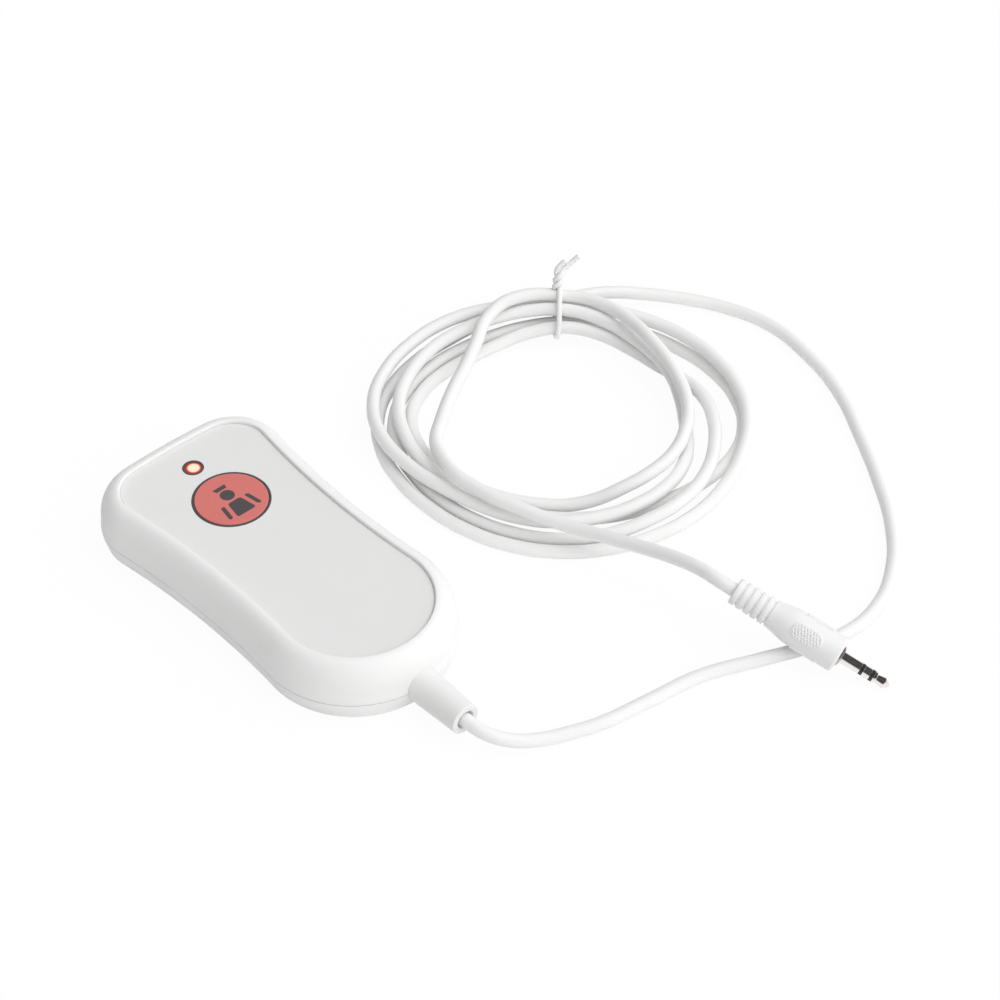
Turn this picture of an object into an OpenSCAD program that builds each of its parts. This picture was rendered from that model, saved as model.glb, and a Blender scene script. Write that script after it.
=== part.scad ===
/* [Face] */
// Length of the recessed face
face_len = 105.5; // [103:0.5:108]
// Width of the face at its waist
waist_w = 42.2; // [40:0.2:44]
// How far the waist lies below the middle of the face
waist_drop = 2.2; // [0:0.2:4]
// Radius of the face's hollow sides
waist_r = 290; // [270:5:330]
// Radius of the two corners at the head
corner_r = 10.7; // [9.5:0.1:12]
// Radius of the head's edge
head_r = 214; // [190:2:240]
// Depth of the face below the rim
face_drop = 0.95; // [0.6:0.05:1.2]
// Thickness of the printed film
film_t = 0.25; // [0.15:0.05:0.4]
// Thickness of the adhesive under the film
glue_t = 0.1; // [0.05:0.05:0.15]
// Gap between the film and the rim
film_gap = 0.15; // [0.05:0.05:0.3]

/* [Case] */
// Height of the case at its rim
case_h = 19.75; // [19:0.25:22]
// How far the widest line stands out from the face's edge
case_out = 6.65; // [6:0.05:7.5]
// Height of the widest line
wide_h = 7.2; // [7.1:0.1:8]
// Height where the shoulder starts to curve in
shoulder_h = 10.6; // [9.5:0.1:11.5]
// How far the side leans in between those heights
shoulder_in = 0.35; // [0.1:0.05:0.6]
// Width of the rim's crest round the face
rim_w = 0.6; // [0.4:0.05:1]
// Height of the line between the two shells
split_h = 6.8; // [6.4:0.1:7]
// Size of the groove along that line
split_groove = 0.2; // [0.1:0.05:0.3]
// How far the lower shell's side draws in
foot_in = 1; // [0.6:0.1:1.4]
// Radius round the underside
foot_r = 2.3; // [1.5:0.1:3]
// Thickness of the walls
wall = 2.2; // [1.8:0.1:2.6]
// Thickness of the plate under the face
plate_t = 2; // [1.6:0.1:2.4]
// Thickness of the bottom
floor_t = 2; // [1.6:0.1:2.4]
// Height of the lip that locates the shells
lip_h = 1.5; // [1:0.1:2]

/* [Call button] */
// Distance from the head end of the face to the button's centre
button_from_head = 28.4; // [26:0.2:31]
// Diameter of the red cap
button_d = 21.5; // [20:0.1:23]
// Width of the dark ring round it
seal_w = 0.7; // [0.5:0.05:1]
// Running clearance of the cap in the ring, on the radius
button_gap = 0.1; // [0.05:0.01:0.15]
// How far the cap stands above the face
button_rise = 0.3; // [0.1:0.05:0.6]
// How far the ring stands above the face
seal_rise = 0.12; // [0.05:0.01:0.2]
// Travel of the button
button_travel = 0.5; // [0.3:0.05:0.6]
// Thickness of the cap's top
cap_t = 1.6; // [1.2:0.1:1.8]
// Thickness of the cap's skirt
skirt_t = 1.5; // [1.2:0.1:1.8]
// Width of the flange that holds the cap in
flange_w = 1.85; // [1.5:0.05:2.2]
// Thickness of that flange
flange_t = 1.1; // [0.8:0.1:1.4]
// Thickness of the pusher's disc
plunger_t = 1.5; // [1.2:0.1:1.6]

/* [Lamp] */
// Distance from the head end of the face to the lamp
lamp_from_head = 10.4; // [9:0.2:12]
// Diameter of the dark ring round the lamp
bezel_d = 6.4; // [6:0.1:7]
// Width of that ring
bezel_w = 0.65; // [0.5:0.05:0.8]
// Width of the lens's flange under the plate
lens_flange_w = 1.2; // [0.9:0.1:1.5]
// Diameter of the LED
led_d = 3; // [2.8:0.1:3.4]

/* [Board] */
// Width of the circuit board
board_w = 34; // [32:0.5:35]
// Length of the circuit board
board_len = 62; // [60:0.5:63]
// Distance from the head end of the face to the board
board_from_head = 6.2; // [5:0.1:7]
// How far the board's top lies below the plate under the face
board_drop = 6.85; // [6.6:0.05:7.2]
// Thickness of the board
board_t = 1.6; // [1.2:0.1:1.8]
// Distance of the screws from the board's edges
board_inset = 3.5; // [3:0.1:4]
// Side of the square tact switch
switch_side = 6.2; // [5.8:0.1:6.6]
// Height of the switch body
switch_h = 3.5; // [3.2:0.05:3.8]
// Height of the switch to the top of its stem
switch_total_h = 5; // [4.8:0.05:5.1]
// Diameter of the switch's stem
stem_d = 3.5; // [3.2:0.1:3.8]

/* [Screws] */
// Thread diameter of the case screws
case_screw_d = 2.9; // [2.5:0.1:3.2]
// Head diameter of the case screws
case_head_d = 5.4; // [5:0.1:5.6]
// Length of the case screws under the head
case_screw_len = 9.5; // [8:0.5:10]
// Thread diameter of the small screws
small_screw_d = 1.9; // [1.7:0.1:2.1]
// Head diameter of the small screws
small_head_d = 3.6; // [3.4:0.1:3.8]
// Length of the small screws under the head
small_screw_len = 6; // [5:0.2:6.4]
// Distance of the head screws from the middle line
head_screw_x = 21.5; // [20.5:0.1:22]
// Distance of the head screws from the head end of the face
head_screw_from_head = 22.8; // [20:0.2:25]
// Distance of the tail screws from the middle line
tail_screw_x = 16; // [14:0.2:17]
// Distance of the tail screws from the tail end of the face
tail_screw_from_tail = 16.5; // [15:0.2:18]

/* [Strain relief] */
// How far the sleeve stands out of the case
relief_len = 17.3; // [15:0.1:20]
// Height of the sleeve's middle line
relief_h = 7.1; // [7:0.05:7.3]
// Diameter of the sleeve at the case
relief_base_d = 10.5; // [10:0.1:11]
// Diameter of the sleeve at its mouth
relief_end_d = 9.2; // [8.6:0.1:9.8]
// Diameter of the mouth
relief_mouth_d = 6.2; // [5.6:0.1:6.6]
// Depth of the mouth
relief_mouth_len = 8; // [6:0.5:10]
// Thickness of the flange inside the case
relief_flange_t = 1.5; // [1.2:0.1:1.8]
// Distance of the cord's clamp from the tail of the case
clamp_from_tail = 15.5; // [14:0.5:17]
// How far the jacket goes past the clamp
jacket_past_clamp = 7; // [5:0.5:9]

/* [Cord] */
// Diameter of the cord
cord_d = 4.1; // [3.8:0.05:4.3]
// Radius of the coil that the loops lie around
coil_r = 46; // [44:0.5:50]
// Distance between neighbouring strands in the coil
coil_pitch = 4.6; // [4.5:0.05:5]
// Number of loops in the coil
coil_loops = 5; // [3:1:5]
// Diameter of the tie's wire
tie_d = 1.7; // [1.4:0.1:2]

/* [Plug] */
// Diameter of the contacts
jack_d = 3.5; // [3.4:0.05:3.6]
// Length of the tip contact
tip_len = 5.1; // [4.8:0.1:5.5]
// Length of each dark ring
insul_len = 1; // [0.8:0.1:1.2]
// Length of the ring contact
ring_len = 2.2; // [2:0.1:2.6]
// Length of the sleeve contact
sleeve_len = 5.9; // [5.5:0.1:6.5]
// Diameter of the metal collar
collar_d = 6.1; // [5.8:0.1:6.6]
// Thickness of the metal collar
collar_t = 0.9; // [0.7:0.05:1.2]
// Diameter of the body at the collar
plug_front_d = 10.7; // [10:0.1:10.8]
// Diameter of the body behind the grips
plug_bulge_d = 10.8; // [10.2:0.1:11]
// Diameter of the boot
boot_d = 8.3; // [7.8:0.1:8.6]
// Length of the body in front of the boot
plug_body_len = 22.4; // [21:0.2:24]
// Length of the ribbed boot
boot_len = 11.8; // [11:0.2:13]
// Number of ribs on the boot
boot_ribs = 5; // [3:1:6]

/* [Hidden] */

// Clearances shared by all fits
fit = 0.02;
loose_fit = 0.1;
lip_gap = 0.1;
screw_slack = 0.15;
// Overrun of every cut
over = 1;
// Small edge radius of moulded pieces
edge_r = 0.3;

// Places worked out from the driving sizes
head_y = face_len / 2;
tail_y = -face_len / 2;
face_h = case_h - face_drop;
recess_h = face_h - film_t - glue_t;
plate_h = recess_h - plate_t;
board_h = plate_h - board_drop;
button_y = head_y - button_from_head;
lamp_y = head_y - lamp_from_head;
board_y = head_y - board_from_head - board_len / 2;
case_tail_y = tail_y - case_out;

// Circles of the face's outline: hollow side, corner, head edge and tail
waist_mid = [waist_w / 2 + waist_r, -waist_drop];
head_mid = [0, head_y - head_r];
corner_mid = circle_meet(head_mid, head_r - corner_r, waist_mid, waist_r + corner_r);
waist_up = waist_mid.y - tail_y;
tail_r = (waist_mid.x * waist_mid.x + waist_up * waist_up - waist_r * waist_r)
    / (2 * (waist_r + waist_up));
tail_mid = [0, tail_y + tail_r];

// Crossing of two circles, on the left of the way from the first to the second
function circle_meet(a, ra, b, rb) =
    let (gap = norm(b - a), u = (b - a) / gap,
        x = (gap * gap + ra * ra - rb * rb) / (2 * gap), y = sqrt(ra * ra - x * x))
    a + x * u + y * [-u.y, u.x];
function angle_to(a, b) = atan2(b.y - a.y, b.x - a.x);
function arc(mid, r, from, to, steps, first = 0) =
    [for (i = [first:steps]) let (a = from + (to - from) * i / steps)
        mid + r * [cos(a), sin(a)]];

// Right half of the outline, from the tail to the head, moved outwards by out
tail_steps = 15;
waist_steps = 10;
corner_steps = 10;
head_steps = 4;
function half_outline(out) =
    let (a_tail = angle_to(tail_mid, waist_mid), a_corner = angle_to(corner_mid, waist_mid),
        a_head = angle_to(head_mid, corner_mid))
    concat(
        arc(tail_mid, tail_r + out, -90, a_tail, tail_steps),
        arc(waist_mid, waist_r - out, a_tail + 180, a_corner + 180, waist_steps, 1),
        arc(corner_mid, corner_r + out, a_corner, a_head, corner_steps, 1),
        arc(head_mid, head_r + out, a_head, 90, head_steps, 1));
function outline(out) =
    let (right = half_outline(out), last = len(right) - 1)
    concat(right, [for (i = [last - 1:-1:1]) [-right[i].x, right[i].y]]);

// Solid through one outline for each [outwards, height] pair of the profile
module loft(profile) {
    rings = [for (p = profile) [for (q = outline(p[0])) [q.x, q.y, p[1]]]];
    skin(rings);
}
// Closed skin through rings of as many points each, with two ends or as a loop
module skin(rings, loop = false) {
    count = len(rings[0]);
    last = len(rings) - 1;
    points = [for (ring = rings) for (q = ring) q];
    sides = [for (i = [0:loop ? last : last - 1]) for (j = [0:count - 1])
        let (k = (j + 1) % count, a = i * count, b = (i + 1) % len(rings) * count)
        each [[a + j, b + j, a + k], [a + k, b + j, b + k]]];
    bottom = [for (j = [0:count - 1]) j];
    top = [for (j = [count - 1:-1:0]) last * count + j];
    polyhedron(points, concat(sides, loop ? [] : [bottom, top]), convexity = 10);
}
function rounded(out_mid, h_mid, out_r, h_r, from, to, steps) =
    [for (i = [0:steps]) let (a = from + (to - from) * i / steps)
        [out_mid + out_r * cos(a), h_mid + h_r * sin(a)]];

// Tube round a route, with flat ends square to it
module tube(route, d, sides, turn = 0) {
    last = len(route) - 1;
    rings = [for (i = [0:last])
        let (along = unit(route[min(i + 1, last)] - route[max(i - 1, 0)]),
            across = unit(cross(along, [0, 0, 1])), rise = cross(across, along))
        [for (j = [0:sides - 1]) let (a = turn - 360 * j / sides)
            route[i] + d / 2 * (cos(a) * across + sin(a) * rise)]];
    skin(rings);
}
function unit(v) = v / norm(v);
function at(list, i) = list[max(0, min(len(list) - 1, i))];
// Smooth curve through a list, at place t counted in its items
function smooth(list, t) =
    let (i = min(floor(t), len(list) - 2), f = t - i,
        a = at(list, i - 1), b = list[i], c = list[i + 1], d = at(list, i + 2))
    b + ((c - a) * f + (2 * a - 5 * b + 4 * c - d) * f * f
        + (3 * b - a - 3 * c + d) * f * f * f) / 2;
// Level at both items, with an even rise between them
function eased(list, t) =
    let (i = min(floor(t), len(list) - 2), f = t - i)
    list[i] + (list[i + 1] - list[i]) * (3 - 2 * f) * f * f;
function smooth_route(list, steps) =
    [for (i = [0:(len(list) - 1) * steps]) smooth(list, i / steps)];

module screw(d, head_d, shank, head_t) {
    cylinder(h = shank, d = d, $fn = 32);
    translate([0, 0, -head_t])
        cylinder(h = head_t, d = head_d, $fn = 32);
}
module ring_solid(outer_d, inner_d, h) {
    difference() {
        cylinder(h = h, d = outer_d, $fn = 96);
        translate([0, 0, -over])
            cylinder(h = h + 2 * over, d = inner_d, $fn = 96);
    }
}
module rounded_plate(w, l, t, r) {
    linear_extrude(t) {
        square([w - 2 * r, l], center = true);
        square([w, l - 2 * r], center = true);
        for (x = [-1, 1], y = [-1, 1])
            translate([x * (w / 2 - r), y * (l / 2 - r)])
                circle(r = r, $fn = 32);
    }
}
module box_at(mid, size) {
    translate([mid.x - size.x / 2, mid.y - size.y / 2, mid.z])
        cube(size);
}

// Case screws: posts in the lower shell, bosses in the upper shell
case_head_t = 1.8;
post_d = case_head_d + wall;
post_seat_h = 3.4;
boss_d = 2 * case_screw_d;
case_screw_places = [
    [head_screw_x, head_y - head_screw_from_head], [-head_screw_x, head_y - head_screw_from_head],
    [tail_screw_x, tail_y + tail_screw_from_tail], [-tail_screw_x, tail_y + tail_screw_from_tail]];

// Board screws: bosses under the plate, heads below the board
small_head_t = 1.2;
small_boss_d = 2.5 * small_screw_d;
board_screw_places = [for (x = [-1, 1], y = [-1, 1])
    [x * (board_w / 2 - board_inset), board_y + y * (board_len / 2 - board_inset)]];

// Button: cap, ring and pusher, one inside the other
seal_inner_d = button_d + 2 * button_gap;
seal_outer_d = seal_inner_d + 2 * seal_w;
cap_top_h = face_h + button_rise;
cap_under_h = cap_top_h - cap_t;
flange_top_h = plate_h - loose_fit;
flange_d = button_d + 2 * flange_w;
skirt_inner_d = button_d - 2 * skirt_t;
plunger_under_h = cap_under_h - plunger_t;
pin_d = 0.9 * stem_d;
pin_root_d = 2 * stem_d;
pin_root_t = plunger_t / 2;

// Tact switch: moulded base, steel cover, dome and stem
cover_t = 0.3;
switch_floor_t = 0.8;
stem_top_h = board_h + switch_total_h;
cover_h = board_h + switch_h - cover_t;
switch_bore_d = 4.8;
stem_flange_d = 4.4;
stem_flange_t = 0.6;
dome_d = 4.6;
dome_t = 0.15;
dome_base_h = board_h + switch_floor_t;
dome_rise = button_travel + 2 * dome_t;
stem_under_h = dome_base_h + dome_rise + fit;
pin_w = 0.7;
pin_t = 0.3;
pin_reach = 1.3;

// Lamp: ring, lens and LED
lens_d = bezel_d - 2 * bezel_w - 2 * fit;
lens_under_h = board_h + 5;
led_base_d = 1.25 * led_d;
led_base_t = 1;
led_len = 4.6;

// Wiring from the cord's end to the board
header_size = [10, 6, 5.5];
header_inset = 1;
core_plug_size = [9, 5, 4.4];
core_d = 1.2;
core_pitch = 2.5;
core_bundle_pitch = 1.3;
header_y = board_y - board_len / 2 + header_inset + header_size.y / 2;
core_plug_y = header_y - header_size.y / 2 - core_plug_size.y / 2;
core_exit_y = core_plug_y - core_plug_size.y / 2;
core_plug_lift = 0.5;
core_h = board_h + core_plug_lift + core_plug_size.z / 2;

// Clamp on the cord
clamp_size = [17, 5, 2.4];
clamp_y = case_tail_y + clamp_from_tail;
jacket_end_y = clamp_y + jacket_past_clamp;
clamp_screw_x = 5.6;
clamp_under_h = relief_h + cord_d / 4;
clamp_post_d = 2.6 * small_screw_d;
saddle_w = 1.4 * cord_d;

// Sleeve at the tail: cone outside, neck in the wall, flange inside
relief_seat = wall / 2;
relief_neck_d = 8.4;
relief_flange_d = 10;
relief_seat_y = case_tail_y + relief_seat;
relief_flange_y = case_tail_y + wall + fit;
relief_end_y = case_tail_y - relief_len;

// Cord: lowest line, then routes in handset coordinates
cord_low = 0.05;
cord_rest_h = cord_d / 2 + cord_low;
coil_mid = [106, -3];
coil_start_angle = 45;
loop_stations = 8;
// Place of each loop at eight stations, as shares of the pitch: beside coil_r
lane_shares = [
    [2.05, 1.6, 2.35, 1.95, 2.15, 2.05, 2.1, 1.4],
    [0.7, 1.8, 2.65, 0.75, 0.1, -0.35, -1.95, -1.5],
    [-0.45, 0.6, 0.95, -0.2, -0.9, -0.1, 1.9, 1.1],
    [-0.1, 0.25, 1.25, 0.9, 1.05, 1.15, -0.2, -1.2],
    [-1.2, -0.85, 0.15, -1.35, -2.1, -1.55, -1.85, -1.95]];
last_lane_share = 0.45;
// Where the lead comes from and the tail goes to, one station beyond
lead_lane_share = 4.2;
tail_lane_share = -0.85;
// Place of each loop at the same stations: above the lowest line
layer_shares = [
    [0.9, 0, 0, 0, 0, 0, 1.05, 1.05],
    [1.25, 1.5, 1.1, 1.05, 0.7, 1.05, 0.35, 1.05],
    [1.85, 1.3, 1.05, 0.5, 0, 0, 0, 0],
    [0.5, 0, 0, 0, 0, 0.95, 1.15, 0],
    [0.95, 0, 0, 0, 0, 1.6, 1.75, 2.65]];
last_layer_share = 2.35;
lanes = concat([lead_lane_share], [for (i = [0:coil_loops - 1]) each lane_shares[i]],
    [last_lane_share, tail_lane_share]);
layers = concat([for (i = [0:coil_loops - 1]) each layer_shares[i]], [last_layer_share]);
station_rings = 3;
coil_sides = 6;
coil_stations = loop_stations * coil_loops;
function coil_at(t) =
    let (a = coil_start_angle + 360 * t / loop_stations,
        r = coil_r + coil_pitch * smooth(lanes, t + 1))
    [coil_mid.x + r * cos(a), coil_mid.y + r * sin(a),
        cord_rest_h + coil_pitch * eased(layers, t)];
end_step = 1 / station_rings / 4;
coil_start = coil_at(0);
coil_end = coil_at(coil_stations);
coil_start_way = unit(coil_at(end_step) - coil_start);
coil_end_way = unit(coil_end - coil_at(coil_stations - end_step));
coil_route = concat([coil_start - cord_d * coil_start_way],
    [for (i = [0:coil_stations * station_rings]) coil_at(i / station_rings)],
    [coil_end + cord_d * coil_end_way]);
gap_step = 1 / 6;
coil_gap = min([for (t = [0:gap_step:coil_stations - loop_stations])
    for (turn = [1:coil_loops - 1]) let (other = t + turn * loop_stations)
        if (other <= coil_stations)
            for (s = [-2:2]) let (u = min(coil_stations, other + s * gap_step / 2))
                norm(coil_at(t) - coil_at(u))]) - cord_d;
echo(str("least gap between the coil's loops: ", coil_gap, " mm"));

// Plug: tip on the surface, body over the lead
plug_tip = [98.8, -142.4, 1.1];
plug_heading = -69.35;
plug_tilt = 18.5;
plug_way = [cos(plug_heading) * cos(plug_tilt), sin(plug_heading) * cos(plug_tilt),
    -sin(plug_tilt)];
ring_at = tip_len + insul_len;
sleeve_at = ring_at + ring_len + insul_len;
collar_at = sleeve_at + sleeve_len;
body_at = collar_at + collar_t;
boot_at = body_at + plug_body_len;
plug_len = boot_at + boot_len;
plug_rear = plug_tip - plug_len * plug_way;

// Free cord from the sleeve's mouth to the coil, and from the coil to the plug
lead_points = [[1.5, -83.5, 6], [6.5, -88.8, 3.9], [14, -93, 2.4], [21.5, -96.2, 2.1],
    [29, -99, 2.1],
    [45, -102, 2.1], [62, -105, 2.1], [78, -111.5, 2.1], [91, -117, 2.1], [104, -121, 2.1],
    [118, -120, 2.1], [132.6, -113, 2.1], [146.5, -100.4, 2.1], [158, -85, 2.1], [169, -67.5, 2.1],
    [178.6, -50.3, 2.1], [184.5, -32, 2.1], [186.5, -13, 2.1], [182.5, 2, 2.1], [176.5, 12, 2.7],
    [167, 22.5, 4], [156.5, 30.8, 5.5]];
tail_points = [[125, 41, 14.2], [114, 40.7, 12.7], [104.5, 35.5, 10.8],
    [96, 30.5, 10.2], [87, 25.9, 9.2], [74.5, 17.8, 8.5], [66.5, 11, 9.1], [61.5, 1.5, 10.9],
    [59.6, -5.8, 11.8], [60.2, -12.8, 11.7], [61.6, -21, 11.6], [64.1, -28.8, 11.5],
    [67.5, -38, 11.1], [71, -47, 11.4], [74.1, -56.8, 12.8], [76.9, -66.9, 14.6],
    [78.8, -76.3, 16.6], [80, -85.8, 18.2]];
mouth = [0, relief_end_y, relief_h];
lead_route = concat([mouth, mouth - [0, cord_d / 2, 0]], smooth_route(lead_points, 2),
    [coil_start - 1.5 * cord_d * coil_start_way, coil_start - cord_d * coil_start_way]);
tail_route = concat([coil_end + cord_d * coil_end_way, coil_end + 1.5 * cord_d * coil_end_way],
    smooth_route(tail_points, 2), [plug_rear - cord_d * plug_way, plug_rear]);
free_sides = 8;

// Tie: a loop round the bundle, a twist and two ends, in a frame that stands on the bundle:
// outwards from the coil's middle, along the cord, and up
tie_angle = 48;
tie_gap = 0.45;
tie_sides = 6;
bundle = [for (i = [0:coil_loops - 1]) [coil_r + coil_pitch * lane_shares[i][0],
    cord_rest_h + coil_pitch * layer_shares[i][0]]];
bundle_all = concat(bundle, [[coil_r + coil_pitch * last_lane_share,
    cord_rest_h + coil_pitch * last_layer_share]]);
tie_out = cord_d / 2 + tie_gap + tie_d / 2;
function best(list, way, i = 0, found = 0) =
    i == len(list) ? list[found]
        : best(list, way, i + 1, list[i] * way > list[found] * way ? i : found);
twist_base = best(bundle_all, [0, 1]) + tie_out * [0.6, 0.9];
tie_loop = [for (a = [20:20:360]) let (way = [cos(a), sin(a)])
    best(bundle_all, way) + tie_out * way];
twist_d = 2 * tie_d;
twist_len = 3 * tie_d;
tie_end_len = 4 * tie_d;
twist_lean = 30;
long_end_turn = [50, 0, 20];
short_end_turn = [25, 0, 10];

// Case
module upper_shell() {
    inner_out = case_out - wall;
    rebate_out = case_out - wall / 2;
    profile = concat(
        [[0, recess_h]],
        rounded(rim_w, face_h, -rim_w, face_drop, 0, 90, 4),
        rounded(rim_w, shoulder_h, case_out - shoulder_in - rim_w, case_h - shoulder_h, 82, 0, 9),
        [[case_out, wide_h], [case_out, split_h + split_groove], [case_out - split_groove, split_h],
            [rebate_out, split_h], [rebate_out, split_h + lip_h + lip_gap],
            [inner_out, split_h + lip_h + lip_gap]],
        rounded(0, shoulder_h, inner_out, plate_h - shoulder_h, 0, 90, 6));
    color("whitesmoke")
        difference() {
            union() {
                loft([for (i = [len(profile) - 1:-1:0]) profile[i]]);
                for (p = case_screw_places)
                    translate([p.x, p.y, split_h])
                        cylinder(h = plate_h - split_h + plate_t / 2, d = boss_d, $fn = 32);
                for (p = board_screw_places)
                    translate([p.x, p.y, board_h])
                        cylinder(h = plate_h - board_h + plate_t / 2, d = small_boss_d, $fn = 32);
            }
            translate([0, button_y, plate_h - over])
                cylinder(h = plate_t + 2 * over, d = seal_outer_d + 2 * fit, $fn = 96);
            translate([0, lamp_y, plate_h - over])
                cylinder(h = plate_t + 2 * over, d = bezel_d + 2 * fit, $fn = 64);
            for (p = case_screw_places)
                translate([p.x, p.y, split_h - over])
                    cylinder(h = case_screw_len - split_h + post_seat_h + 2 * over,
                        d = case_screw_d + 2 * fit, $fn = 32);
            for (p = board_screw_places)
                translate([p.x, p.y, board_h - over])
                    cylinder(h = small_screw_len - board_t + 1.5 * over,
                        d = small_screw_d + 2 * fit, $fn = 32);
            relief_socket();
        }
}
// Space for the sleeve's base, neck and flange in both shells
module relief_socket() {
    translate([0, case_tail_y - over, relief_h])
        rotate([-90, 0, 0])
            cylinder(h = relief_seat + over, d = relief_base_d + 2 * fit, $fn = 64);
    translate([0, case_tail_y, relief_h])
        rotate([-90, 0, 0])
            cylinder(h = wall + over, d = relief_neck_d + 2 * fit, $fn = 64);
    translate([0, case_tail_y + wall, relief_h])
        rotate([-90, 0, 0])
            cylinder(h = 2 * relief_flange_t, d = relief_flange_d + 2 * loose_fit, $fn = 64);
}
module lower_shell() {
    inner_out = case_out - wall;
    lip_out = case_out - wall / 2 - lip_gap;
    foot_out = case_out - foot_in;
    foot_inner = foot_out - wall;
    profile = concat(
        [[foot_inner - floor_t / 2, floor_t], [foot_inner, floor_t * 1.5],
            [inner_out, split_h], [inner_out, split_h + lip_h], [lip_out, split_h + lip_h],
            [lip_out, split_h], [case_out - split_groove, split_h],
            [case_out - split_groove / 4, split_h - split_groove]],
        rounded(foot_out - foot_r, foot_r, foot_r, -foot_r, 0, 90, 6));
    color("white")
        difference() {
            union() {
                loft([for (i = [len(profile) - 1:-1:0]) profile[i]]);
                for (p = case_screw_places)
                    translate([p.x, p.y, floor_t / 2])
                        cylinder(h = split_h - floor_t / 2, d = post_d, $fn = 48);
                for (x = [-1, 1])
                    translate([x * clamp_screw_x, clamp_y, floor_t / 2])
                        cylinder(h = clamp_under_h - floor_t / 2, d = clamp_post_d, $fn = 32);
                box_at([0, clamp_y, floor_t / 2], [saddle_w, clamp_size.y, relief_h - floor_t]);
            }
            for (p = case_screw_places) {
                translate([p.x, p.y, -over])
                    cylinder(h = post_seat_h + over, d = case_head_d + 2 * screw_slack, $fn = 48);
                translate([p.x, p.y, 0])
                    cylinder(h = split_h + over, d = case_screw_d + 2 * screw_slack, $fn = 32);
            }
            for (x = [-1, 1])
                translate([x * clamp_screw_x, clamp_y, floor_t])
                    cylinder(h = clamp_under_h, d = small_screw_d + 2 * fit, $fn = 32);
            translate([0, clamp_y - clamp_size.y, relief_h])
                rotate([-90, 0, 0])
                    cylinder(h = 2 * clamp_size.y, d = cord_d + 2 * fit, $fn = 48);
            relief_socket();
        }
}
module case_screws() {
    color("silver")
        for (p = case_screw_places)
            translate([p.x, p.y, post_seat_h])
                screw(case_screw_d, case_head_d, case_screw_len, case_head_t);
}

// Film and its adhesive: the outline with a hole for the button and one for the lamp
module film(h, t, out) {
    difference() {
        translate([0, 0, h])
            linear_extrude(t)
                polygon(outline(out));
        translate([0, button_y, h - over])
            cylinder(h = t + 2 * over, d = seal_outer_d + 2 * fit, $fn = 96);
        translate([0, lamp_y, h - over])
            cylinder(h = t + 2 * over, d = bezel_d + 2 * fit, $fn = 64);
    }
}
module face_overlay() {
    color("gainsboro")
        film(recess_h + glue_t, film_t, -film_gap);
}
module overlay_adhesive() {
    color("beige")
        film(recess_h, glue_t, -2 * film_gap);
}

// Call button
module call_button() {
    skirt_under_h = flange_top_h - flange_t;
    color([0.85, 0.47, 0.45])
        translate([0, button_y, 0])
            rotate_extrude($fn = 96)
                polygon([[0, cap_under_h], [skirt_inner_d / 2, cap_under_h],
                    [skirt_inner_d / 2, skirt_under_h], [flange_d / 2, skirt_under_h],
                    [flange_d / 2, flange_top_h], [button_d / 2, flange_top_h],
                    [button_d / 2, cap_top_h - edge_r], [button_d / 2 - edge_r, cap_top_h],
                    [0, cap_top_h]]);
}
module button_plunger() {
    color("white")
        translate([0, button_y, 0]) {
            translate([0, 0, plunger_under_h])
                cylinder(h = plunger_t, d = skirt_inner_d - 2 * fit, $fn = 64);
            translate([0, 0, plunger_under_h - pin_root_t])
                cylinder(h = pin_root_t + fit, d = pin_root_d, $fn = 48);
            translate([0, 0, stem_top_h])
                cylinder(h = plunger_under_h - stem_top_h + fit, d = pin_d, $fn = 48);
        }
}
module button_seal() {
    color([0.3, 0.32, 0.34])
        translate([0, button_y, plate_h])
            ring_solid(seal_outer_d, seal_inner_d, face_h + seal_rise - plate_h);
}

// Tact switch
module switch_base() {
    color([0.15, 0.15, 0.16])
        difference() {
            box_at([0, button_y, board_h], [switch_side, switch_side, switch_h - cover_t]);
            translate([0, button_y, dome_base_h])
                cylinder(h = switch_h, d = switch_bore_d, $fn = 48);
        }
}
module switch_cover() {
    color("silver")
        difference() {
            box_at([0, button_y, cover_h], [switch_side, switch_side, cover_t]);
            translate([0, button_y, cover_h - over])
                cylinder(h = cover_t + 2 * over, d = stem_d + loose_fit, $fn = 48);
        }
}
module switch_dome() {
    color("silver")
        translate([0, button_y, dome_base_h])
            rotate_extrude($fn = 48)
                polygon([[0, dome_rise - dome_t], [dome_d / 6, dome_rise - dome_t],
                    [dome_d / 3, dome_rise / 2 - dome_t / 2], [dome_d / 2 - dome_t, 0],
                    [dome_d / 2, 0], [dome_d / 3, dome_rise / 2 + dome_t],
                    [dome_d / 6, dome_rise], [0, dome_rise]]);
}
module switch_stem() {
    color([0.2, 0.2, 0.2])
        translate([0, button_y, stem_under_h]) {
            cylinder(h = stem_flange_t, d = stem_flange_d, $fn = 48);
            cylinder(h = stem_top_h - stem_under_h, d = stem_d - loose_fit, $fn = 48);
        }
}
module switch_pins() {
    color("silver")
        for (x = [-1, 1], y = [-1, 1])
            box_at([x * (switch_side / 2 + pin_reach / 2), button_y + y * switch_side / 3, board_h],
                [pin_reach, pin_w, pin_t]);
}

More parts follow.
